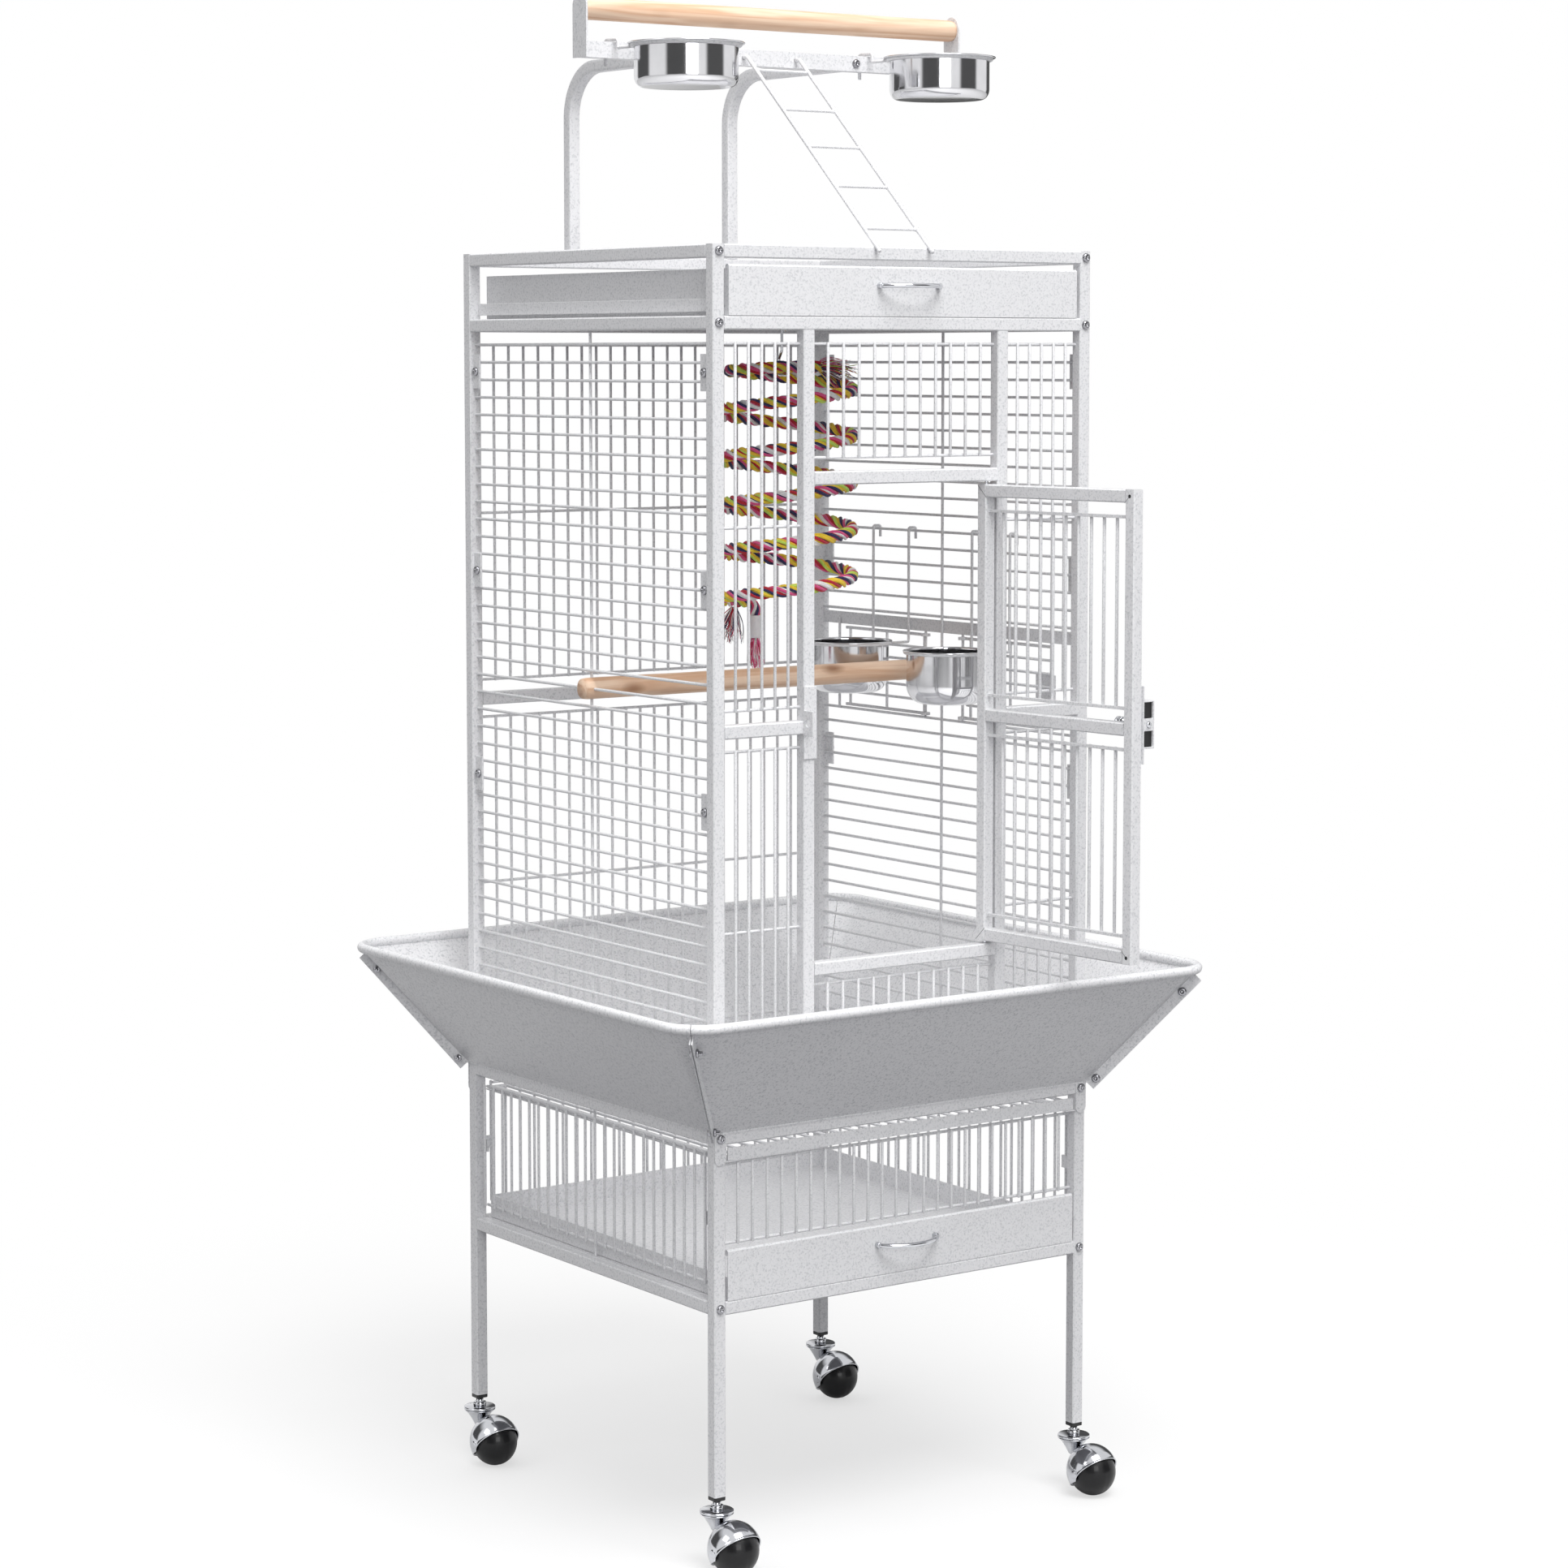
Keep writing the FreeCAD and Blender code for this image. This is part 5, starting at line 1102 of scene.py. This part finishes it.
class BIRDCAGE_OT_rope(bpy.types.Operator):
    """Lay the rope perch in its coil, with its sleeve and frayed ends"""
    bl_idname = "bird_cage.rope"
    bl_label = "Rope perch"

    def execute(self, context):
        rope = context.scene.cage_rope
        line = even_steps(smooth_line(rope_route(rope)), ROPE_STEP)
        sides = frames_along(line)
        yarn_r = rope.diameter / 2 * STRAND_SHARE * YARN_SHARE
        shape = Shape()
        for number, strand in enumerate(STRANDS):
            for part, colour in enumerate(strand):
                path = laid_yarn(line, sides, rope, number, part, len(strand))
                sweep(shape, path, yarn_r, 7, slot=YARNS.index(colour))
        yarns = ["yarn_" + name for name in YARNS]
        coil = stand_for("rope_coil", shape, "rope_perch", yarns)
        cover = self.sleeve(rope, line[-1])
        frayed = self.tassels(line, yarns)
        return {"FINISHED"}

    def sleeve(self, rope, foot):
        r = rope.diameter / 2 + SLEEVE_WALL
        deep, edge = SLEEVE_DEEP, SLEEVE_EDGE
        profile = [(r * 0.80, -deep), (r * 0.97, -deep + edge * 1.5), (r, -deep * 0.6),
                   (r * 0.985, -deep * 0.3), (r, -edge), (r * 0.93, 0), (r * 0.86, -edge),
                   (r * 0.80, -deep * 0.5)]
        shape = Shape()
        turn(shape, softened(profile, 2), Vector((foot.x, foot.y, ROPE_LOW_Z - ROPE_BEND)), steps=48)
        return piece("rope_sleeve", shape, "rope_ends", ["shrink_sleeve"])

    def tassels(self, line, yarns):
        """Threads below the sleeve, beside the first turn and at the upper end."""
        tip, foot = line[0], line[-1]
        below = Vector((foot.x, foot.y, ROPE_LOW_Z - ROPE_BEND - SLEEVE_DEEP + SLEEVE_EDGE))
        spray = Vector((ROPE_AXIS_X - SPRAY_BACK, foot.y, ROPE_LOW_Z - SPRAY_DROP))
        chance = random.Random(11)
        shape = Shape()
        tassel(shape, chance, below, -UP, *SLEEVE_TASSEL)
        tassel(shape, chance, spray, Vector((-0.25, 0, -1)), *SPRAY_TASSEL)
        tassel(shape, chance, tip, Vector((1, 0, -0.1)), *TIP_TASSEL)
        return stand_for("rope_tassels", shape, "rope_ends", yarns)


SCREW_R = 4.5 * MM
SCREW_H = 3.0 * MM
SOCKET_R = 2.0 * MM
SKIRT_GRIP = 2.8 * MM
THREAD_TURNS = 24
THREAD_RISE = 0.06
# Half sections in mm from the flange up: a screw's nut, then the latch bolt's knob
NUT = ((0.8, -2.6), (0.9, -2.2), (0.9, 0))
KNOB = ((2.9, 0), (4.9, 0), (5.4, 0.5), (5.4, 2), (5.1, 2.3), (5.1, 5.7), (5.4, 6), (5.4, 7.3), (4.8, 8),
        (0.1, 8))
KNOB_LONG = 8.0 * MM


def screw(shape, face, out, shank=0.0):
    """Round-topped screw head with a socket, and its threaded shank and nut if it has them."""
    turn(shape, [(SCREW_R, 0), (SCREW_R, SCREW_H * 0.25), (SCREW_R * 0.93, SCREW_H * 0.6),
                 (SCREW_R * 0.72, SCREW_H * 0.9), (SOCKET_R * 1.15, SCREW_H), (SOCKET_R, SCREW_H * 0.96),
                 (SOCKET_R, SCREW_H * 0.45), (SPECK / 2, SCREW_H * 0.4)], face, out, 36)
    if shank:
        thread = [(SOCKET_R * 1.05 * (1 + THREAD_RISE * (i % 2)), -shank + i * shank / THREAD_TURNS)
                  for i in range(THREAD_TURNS + 1)]
        turn(shape, thread, face, out, 24)
        turn(shape, [(SCREW_R * share, -SKIRT_GRIP + h * MM) for share, h in NUT], face, out, 6)


class BIRDCAGE_OT_bolts(bpy.types.Operator):
    """Set the screws of the frames, plates and skirts"""
    bl_idname = "bird_cage.bolts"
    bl_label = "Screws"

    def execute(self, context):
        shape = Shape()
        cage = Vector((0, cage_middle(), 0))
        for points, _ in loose_parts("frame_bolts"):
            centre, out, length, is_long = lie(points)
            if is_long:
                screw(shape, centre + out * (length / 2 - SCREW_H), out, length - SCREW_H)
                continue
            if out.dot(Vector((centre.x - cage.x, centre.y - cage.y, 0))) < 0:
                out.negate()
            screw(shape, centre - out * (length / 2), out)
        stand_for("screws", shape, "frame_bolts", ["screw_zinc"])
        centre, out, length, _ = lie(loose_parts("door_latch_bolt")[0][0])
        rod = in_mm([(2.3, 0), (2.9, 0.7)])
        knob = [(r, length - KNOB_LONG + h) for r, h in in_mm(KNOB)]
        shape = Shape()
        turn(shape, rod + knob, centre - out * (length / 2), out, 40)
        stand_for("latch_bolt", shape, "door_latch_bolt", ["chrome_plate"])
        return {"FINISHED"}


MARK = 0.05 * MM
# Radius of the black disc of painted shade in each screw hole
HOLE_SHADE_RADIUS = 1.8 * MM
MITRE_HALF = 0.22 * MM
MITRE_IN = 0.8 * MM
# At the free edge a mitre line starts this far in
MITRE_SHORT = 0.45
# Black blocks of painted shade in the latch case: gap to its faces, gap to its ends, and reach below and
# above its middle
LATCH_SHADE_GAP = 1.7 * MM
LATCH_SHADE_SIDE = 2.2 * MM
LATCH_SHADE_LOW = 6.4 * MM
LATCH_SHADE_HIGH = 21.2 * MM


class BIRDCAGE_OT_marks(bpy.types.Operator):
    """Mark the mitres of the door frame as dark joints, and paint black shade into its screw holes and its
    latch case
    """
    bl_idname = "bird_cage.marks"
    bl_label = "Door marks"

    def execute(self, context):
        points = [v.co for v in frame["nodes"]["door_frame"].data.vertices]
        joints = frame["record"]["behaviour"]["joints"]
        out = Vector(next(j["axis"] for j in joints if j["name"] == "door_bolt_slide")).normalized()
        face = UP.cross(out)
        far = max(p.dot(out) for p in points)
        near = min(p.dot(out) for p in points)
        low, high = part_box("door_frame")
        shape = Shape()
        for side in (-1, 1):
            skin = max(side * p.dot(face) for p in points) + MARK * 0.6
            at = face * (side * skin)
            for z, way in ((high.z, -1), (low.z, 1)):
                # A black disc in each screw hole is painted shade; the mitre lines below are dark joints
                hole = out * (far - POST / 2) + at + UP * (z + way * POST / 2)
                turn(shape, [(SPECK, -MARK), (HOLE_SHADE_RADIUS, -MARK), (HOLE_SHADE_RADIUS, 0), (SPECK, 0)], hole,
                     face * side, 24)
                for end, step in ((far, -1), (near, 1)):
                    outer = out * (end + step * MITRE_IN) + at + UP * (z + way * MITRE_IN)
                    inner = out * (end + step * POST) + at + UP * (z + way * POST)
                    if end == far:
                        outer += (inner - outer) * MITRE_SHORT
                    wide = (out * step - UP * way).normalized() * MITRE_HALF
                    slab(shape, [outer - wide, inner - wide, inner + wide, outer + wide],
                         face * (side * -MARK))
        piece("door_marks", shape, "door_frame", ["leg_plug"], smooth=False)
        self.guides(out, face)
        return {"FINISHED"}

    def guides(self, out, face):
        """Black blocks of painted shade in the hollow latch case, above and below the bolt."""
        points = [v.co for v in frame["nodes"]["door_latch_case"].data.vertices]
        at = middle("door_latch_case")
        if (at - middle("door_frame")).dot(face) < 0:
            face = -face
        first = min(p.dot(out) for p in points) + LATCH_SHADE_SIDE
        last = max(p.dot(out) for p in points) - LATCH_SHADE_SIDE
        floor = min(p.dot(face) for p in points) + LATCH_SHADE_GAP
        deep = max(p.dot(face) for p in points) - LATCH_SHADE_GAP - floor
        shape = Shape()
        # Two black slabs stand in for the shade inside the open case
        for way in (-1, 1):
            slab(shape, [out * x + face * floor + UP * (at.z + way * h) for x, h in (
                (first, LATCH_SHADE_LOW), (last, LATCH_SHADE_LOW), (last, LATCH_SHADE_HIGH), (first, LATCH_SHADE_HIGH))], face * deep)
        piece("latch_guides", shape, "door_latch_case", ["leg_plug"], smooth=False)


# Casters are pressed a little flat across the axle
BALL_FLAT = 0.93
BALL_STEPS = 40
BALL_SEAM = 0.25 * MM
HOOD_OUT = 27.6 * MM
HOOD_IN = 26.2 * MM
HOOD_LIP = 6.0 * MM
HOOD_RISE = 11.0 * MM
HOOD_ROLL = 0.4 * MM
HOOD_LEAN = math.radians(30)
TRAIL = 30.0 * MM
# Heights in mm over the floor: foot of the neck, swivel plate and leg end
NECK_LOW = 36.0
DISC_LOW = 53.8
DISC_TOP = 56.5
STEM_TOP = 65.8
# Half sections in mm: cap of the axle, neck of the hood, swivel plate, its nut and the stem
AXLE_CAP = ((4.5, -0.8), (4.4, 0), (3.6, 0.5), (2.0, 0.85), (0.1, 0.95))
NECK = ((4.6, NECK_LOW), (5.2, NECK_LOW + 0.6), (8.5, NECK_LOW + 7), (12.5, DISC_LOW - 4.5),
        (15.4, DISC_LOW - 1.5), (16.3, DISC_LOW - 0.9), (16.3, DISC_LOW - 0.5))
DISC = ((15.6, DISC_LOW), (16.4, DISC_LOW + 0.5), (16.4, DISC_TOP - 0.5), (15.6, DISC_TOP), (4, DISC_TOP))
STEM_NUT = ((6.6, DISC_TOP), (6.9, DISC_TOP + 0.5), (6.9, DISC_TOP + 4), (6.2, DISC_TOP + 4.5),
            (4, DISC_TOP + 4.5))
STEM = ((3.9, DISC_TOP), (3.9, STEM_TOP))


def squeezed(shape, middle_x):
    """Press a turned form a little flat across the axle."""
    shape.points = [Vector((middle_x + (p.x - middle_x) * BALL_FLAT, p.y, p.z)) for p in shape.points]


class BIRDCAGE_OT_casters(bpy.types.Operator):
    """Press the caster hoods, turn their balls and their swivel plates"""
    bl_idname = "bird_cage.casters"
    bl_label = "Casters"

    def execute(self, context):
        stems = Shape()
        for corner in ("fl", "fr", "bl", "br"):
            ball = middle("caster_ball_" + corner)
            self.ball(ball, corner)
            stem = Vector((ball.x, ball.y + TRAIL, 0))
            self.hood(ball, stem, corner)
            for profile, steps in ((DISC, 60), (STEM_NUT, 6), (STEM, 24)):
                turn(stems, in_mm(profile), stem, steps=steps)
        stand_for("swivel_plates", stems, "caster_stems", ["chrome_plate"])
        return {"FINISHED"}

    def ball(self, ball, corner):
        low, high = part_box("caster_ball_" + corner)
        radius = (high.z - low.z) / 2
        pole = radius * 0.985
        profile = [(SPECK, -pole)]
        for i in range(1, BALL_STEPS):
            t = math.pi * i / BALL_STEPS
            r = radius - (BALL_SEAM if i == BALL_STEPS // 2 else 0.0)
            profile.append((r * math.sin(t), -r * math.cos(t)))
        shape = Shape()
        turn(shape, profile + [(SPECK, pole)], ball, RIGHT)
        squeezed(shape, ball.x)
        stand_for("glossy_ball_" + corner, shape, "caster_ball_" + corner, ["caster_ball"])

    def hood(self, ball, stem, corner):
        axis = Vector((0, math.sin(HOOD_LEAN), math.cos(HOOD_LEAN)))
        front = Vector((0, -math.cos(HOOD_LEAN), math.sin(HOOD_LEAN)))
        # Outside from the crown to the edge, over a small rolled lip, and back inside
        steps = [(HOOD_OUT, i / 20) for i in range(21)] + [(HOOD_OUT + HOOD_ROLL, 1.01), (HOOD_OUT, 1.03)]
        steps += [(HOOD_IN, i / 20) for i in range(20, -1, -1)]
        rings = []
        for r, share in steps:
            ring = []
            for k in range(72):
                t = math.tau * k / 72
                # The edge rises over the ball in front, between lugs that reach down to the axle
                raised = max(0.0, math.cos(t)) ** 0.6
                edge = math.acos((HOOD_RISE * raised - HOOD_LIP) / HOOD_OUT)
                polar = max(edge * share, 0.002)
                flat = front * math.cos(t) + RIGHT * math.sin(t)
                ring.append(ball + axis * (r * math.cos(polar)) + flat * (r * math.sin(polar)))
            rings.append(ring)
        shape = Shape()
        shape.rings(rings)
        squeezed(shape, ball.x)
        for way in (-RIGHT, RIGHT):
            turn(shape, in_mm(AXLE_CAP), ball + way * (HOOD_OUT * BALL_FLAT * 0.985), way, 36)
        turn(shape, in_mm(NECK), stem, steps=60)
        stand_for("pressed_hood_" + corner, shape, "caster_hood_" + corner, ["chrome_plate"])


RIM_HALF = 320.0 * MM
RIM_TUBE = 5.0 * MM
RIM_CORNER = 40.0 * MM
RIM_Z = 543.5 * MM
WAIST_HALF = 228.5 * MM
WAIST_Z = 424.5 * MM
SHEET = 1.2 * MM
SHEET_FOOT = 2.0 * MM
FIN_OUT = 12.0 * MM
FIN_SHARE = 0.96
TAB_LONG = 24.0 * MM
SEAM = 0.2 * MM
FOOT_SEAM = 1.4 * SEAM
ARC_STEPS = 12


def mirrored(points):
    """The same points on the other side of the cage's middle, in turned order."""
    return [Vector((-p.x, p.y, p.z)) for p in reversed(points)]


def rim_line():
    """Points along one side of the rim, from seam to seam."""
    hub = RIM_HALF - RIM_CORNER
    line = []
    for i in range(ARC_STEPS + 1):
        t = math.pi / 4 * (1 + i / ARC_STEPS)
        line.append(Vector((hub + RIM_CORNER * math.cos(t), -hub - RIM_CORNER * math.sin(t), RIM_Z)))
    line[0].x -= SEAM
    line[0].y -= SEAM
    return line + mirrored(line)


class BIRDCAGE_OT_skirts(bpy.types.Operator):
    """Fold the four sheets of the skirt with their rolled rims and corner fins"""
    bl_idname = "bird_cage.skirts"
    bl_label = "Skirt"

    def execute(self, context):
        line = rim_line()
        sheet = self.sheet(line)
        roll = Shape()
        sweep(roll, line, RIM_TUBE, 20)
        tabs = self.tabs()
        y = cage_middle()
        for i, name in enumerate(("front", "right", "back", "left")):
            shape = Shape()
            for part in (sheet, roll) + ((tabs,) if i % 2 == 0 else ()):
                shape.add(part.points, part.faces)
            c, d = ((1, 0), (0, 1), (-1, 0), (0, -1))[i]
            shape.points = [Vector((p.x * c - p.y * d, y + p.x * d + p.y * c, p.z)) for p in shape.points]
            made = stand_for("folded_skirt_" + name, shape, "skirt_" + name, ["pebbled_sheet"])
            soften_edges(made, SOFT_EDGE)
        return {"FINISHED"}

    def sheet(self, line):
        """Slanting sheet of one side, its level foot and a fin on each mitre."""
        rise = RIM_Z - WAIST_Z
        run = RIM_HALF - WAIST_HALF
        lift = UP * (-SHEET * math.hypot(run, rise) / run)
        rings = []
        for i, rim in enumerate(line):
            foot = Vector((max(-WAIST_HALF, min(WAIST_HALF, rim.x)), -WAIST_HALF, WAIST_Z))
            near_end = max(0, 1 - min(i, len(line) - 1 - i) / ARC_STEPS)
            foot.x -= math.copysign(FOOT_SEAM * near_end, foot.x)
            rings.append([foot, rim, rim + lift, foot + lift])
        made = Shape()
        made.rings(rings)
        half = WAIST_HALF - FOOT_SEAM
        slab(made, [Vector((x, -y, WAIST_Z - SHEET_FOOT)) for x, y in (
            (-half, WAIST_HALF), (half, WAIST_HALF), (half + SHEET, WAIST_HALF + SHEET),
            (-half - SHEET, WAIST_HALF + SHEET))], UP * SHEET_FOOT)
        inward = Vector((-1, -1, 0)).normalized()
        along = Vector((line[0].x - WAIST_HALF, line[0].y + WAIST_HALF, rise)) * FIN_SHARE
        stand = along.cross(inward).normalized() * FIN_OUT
        if stand.z > 0:
            stand.negate()
        start = Vector((WAIST_HALF, -WAIST_HALF, WAIST_Z)) + inward * SEAM
        fin = [start, start + along, start + along + stand, start + stand]
        slab(made, fin, inward * SHEET)
        slab(made, mirrored(fin), Vector((-inward.x, inward.y, 0)) * SHEET)
        return made

    def tabs(self):
        """Round-ended tabs that screw to the posts."""
        made = Shape()
        low = WAIST_Z - SHEET_FOOT
        for side in (-1, 1):
            x = side * (WAIST_HALF - POST / 2)
            outline = [Vector((x - POST / 2, -WAIST_HALF, low)), Vector((x + POST / 2, -WAIST_HALF, low))]
            for i in range(ARC_STEPS + 1):
                t = math.pi * i / ARC_STEPS
                outline.append(Vector((x + POST / 2 * math.cos(t), -WAIST_HALF,
                                       low - TAB_LONG - POST / 2 * math.sin(t))))
            slab(made, outline, Vector((0, -SHEET, 0)))
        return made


WHITE = (1, 1, 1, 1)
SENSOR = 36
FLOOR_HALF = 9.0
LAMP_AIM = Vector((0, 0, 0.9))
# Lamps: place and width
LAMPS = {
    "key": ((-0.42, -2.8, 5.5), 3.3),
    "fill": ((-1.6, -3.8, 1.8), 1.8),
    "side": ((-4.2, 0.4, 3.9), 2.0),
}


class BIRDCAGE_OT_stage(bpy.types.Operator):
    """Set the floor, the lamps and the camera"""
    bl_idname = "bird_cage.stage"
    bl_label = "Stage"

    def execute(self, context):
        stage = context.scene.cage_stage
        self.floor(stage)
        self.world(stage)
        for name, (place, size) in LAMPS.items():
            lamp = bpy.data.lights.new(name + " lamp", "AREA")
            lamp.shape = "SQUARE"
            lamp.size = size
            lamp.energy = getattr(stage, name)
            holder = bpy.data.objects.new(name + " lamp", lamp)
            holder.location = place
            holder.rotation_euler = (LAMP_AIM - Vector(place)).to_track_quat("-Z", "Y").to_euler()
            context.scene.collection.objects.link(holder)
        camera = bpy.data.cameras.new("photo camera")
        camera.lens = stage.lens
        camera.sensor_width = SENSOR
        camera.shift_y = stage.shift
        holder = bpy.data.objects.new("photo camera", camera)
        holder.location = stage.stand
        holder.rotation_euler = (math.pi / 2 - stage.tilt, 0, -stage.heading)
        context.scene.collection.objects.link(holder)
        context.scene.camera = holder
        context.scene.view_settings.view_transform = "Standard"
        return {"FINISHED"}

    def floor(self, stage):
        half = FLOOR_HALF
        mesh = bpy.data.meshes.new("floor")
        mesh.from_pydata([(-half, -half, 0), (half, -half, 0), (half, half, 0), (-half, half, 0)], [],
                         [(0, 1, 2, 3)])
        made = bpy.data.objects.new("floor", mesh)
        bpy.context.scene.collection.objects.link(made)
        look = bpy.data.materials.new("pale_floor")
        look.use_nodes = True
        tree = look.node_tree
        shader = tree.nodes["Principled BSDF"]
        light = node(tree, "LightPath").outputs
        fill(tree, shader.inputs, {
            "Roughness": 0.8, "Specular IOR Level": 0.1,
            "Base Color": mixed(tree, light["Is Diffuse Ray"], (*stage.floor, 1), (*stage.bounce, 1))})
        # Away from the cage the camera sees plain white
        far = node(tree, "VectorMath", {0: node(tree, "TexCoord").outputs["Object"]}, operation="LENGTH")
        fade = spread(tree, far.outputs["Value"], 0.5, 1.5, 0.6, 1.0, interpolation_type="SMOOTHSTEP")
        glow = node(tree, "Emission", {"Color": WHITE, "Strength": 1.0})
        share = sums(tree, "MULTIPLY", light["Is Camera Ray"], fade)
        seen = node(tree, "MixShader", {0: share, 1: shader.outputs[0], 2: glow.outputs[0]})
        fill(tree, tree.nodes["Material Output"].inputs, {"Surface": seen.outputs[0]})
        mesh.materials.append(look)

    def world(self, stage):
        world = bpy.data.worlds.new("studio")
        bpy.context.scene.world = world
        world.use_nodes = True
        tree = world.node_tree
        light = node(tree, "LightPath").outputs
        axes = node(tree, "SeparateXYZ", {0: node(tree, "TexCoord").outputs["Generated"]}).outputs
        # The room is bright overhead and dim near the floor
        room = tree.nodes["Background"]
        air = spread(tree, axes["Z"], 0.0, 0.9, stage.air * 0.55, stage.air * 1.45)
        fill(tree, room.inputs, {"Color": WHITE, "Strength": air})
        # Polished metal sees dark panels between bright ones
        round_way = sums(tree, "ARCTAN2", axes["X"], axes["Y"])
        wave = sums(tree, "SINE", sums(tree, "MULTIPLY_ADD", round_way, 4.0, 0.8))
        panel = spread(tree, wave, -0.25, 0.25, 0.10, 1.0)
        overhead = spread(tree, axes["Z"], 0.45, 0.75, 0.0, 1.0)
        stripes = sums(tree, "MAXIMUM", panel, overhead)
        mirror = node(tree, "Background", {"Color": WHITE, "Strength": stripes})
        polished = node(tree, "MixShader",
                        {0: light["Is Glossy Ray"], 1: room.outputs[0], 2: mirror.outputs[0]})
        # The camera sees white, also through what lets light pass
        back = node(tree, "Background", {"Color": WHITE, "Strength": 1.0})
        plain = sums(tree, "MAXIMUM", light["Is Camera Ray"], light["Is Transmission Ray"])
        seen = node(tree, "MixShader", {0: plain, 1: polished.outputs[0], 2: back.outputs[0]})
        fill(tree, tree.nodes["World Output"].inputs, {"Surface": seen.outputs[0]})


class BIRDCAGE_PT_panel(bpy.types.Panel):
    """The cage's sizes, colours and steps"""
    bl_idname = "BIRDCAGE_PT_panel"
    bl_label = "Bird Cage"
    bl_space_type = "VIEW_3D"
    bl_region_type = "UI"
    bl_category = "Bird Cage"

    def draw(self, context):
        for title, group in (("Finish", context.scene.cage_finish), ("Rope", context.scene.cage_rope),
                             ("Stage", context.scene.cage_stage)):
            box = self.layout.box()
            box.label(text=title)
            for key in group.bl_rna.properties.keys():
                if key not in ("rna_type", "name"):
                    box.prop(group, key)
        for step in STEPS:
            self.layout.operator(step.bl_idname)


STEPS = (
    BIRDCAGE_OT_stage,
    BIRDCAGE_OT_finishes,
    BIRDCAGE_OT_rope,
    BIRDCAGE_OT_frames,
    BIRDCAGE_OT_wires,
    BIRDCAGE_OT_skirts,
    BIRDCAGE_OT_bowls,
    BIRDCAGE_OT_holders,
    BIRDCAGE_OT_bars,
    BIRDCAGE_OT_wood,
    BIRDCAGE_OT_bolts,
    BIRDCAGE_OT_marks,
    BIRDCAGE_OT_casters,
)
GROUPS = (("cage_finish", CageFinish), ("cage_rope", CageRope), ("cage_stage", CageStage))


def register():
    for key, group in GROUPS:
        bpy.utils.register_class(group)
        setattr(bpy.types.Scene, key, PointerProperty(type=group))
    for step in STEPS:
        bpy.utils.register_class(step)
    bpy.utils.register_class(BIRDCAGE_PT_panel)


def unregister():
    bpy.utils.unregister_class(BIRDCAGE_PT_panel)
    for step in reversed(STEPS):
        bpy.utils.unregister_class(step)
    for key, group in reversed(GROUPS):
        delattr(bpy.types.Scene, key)
        bpy.utils.unregister_class(group)


def main():
    register()
    bpy.ops.bird_cage.stage()
    bpy.ops.bird_cage.finishes()
    bpy.ops.bird_cage.rope()
    bpy.ops.bird_cage.frames()
    bpy.ops.bird_cage.wires()
    bpy.ops.bird_cage.skirts()
    bpy.ops.bird_cage.bowls()
    bpy.ops.bird_cage.holders()
    bpy.ops.bird_cage.bars()
    bpy.ops.bird_cage.wood()
    bpy.ops.bird_cage.bolts()
    bpy.ops.bird_cage.marks()
    bpy.ops.bird_cage.casters()


if __name__ == "__main__":
    main()
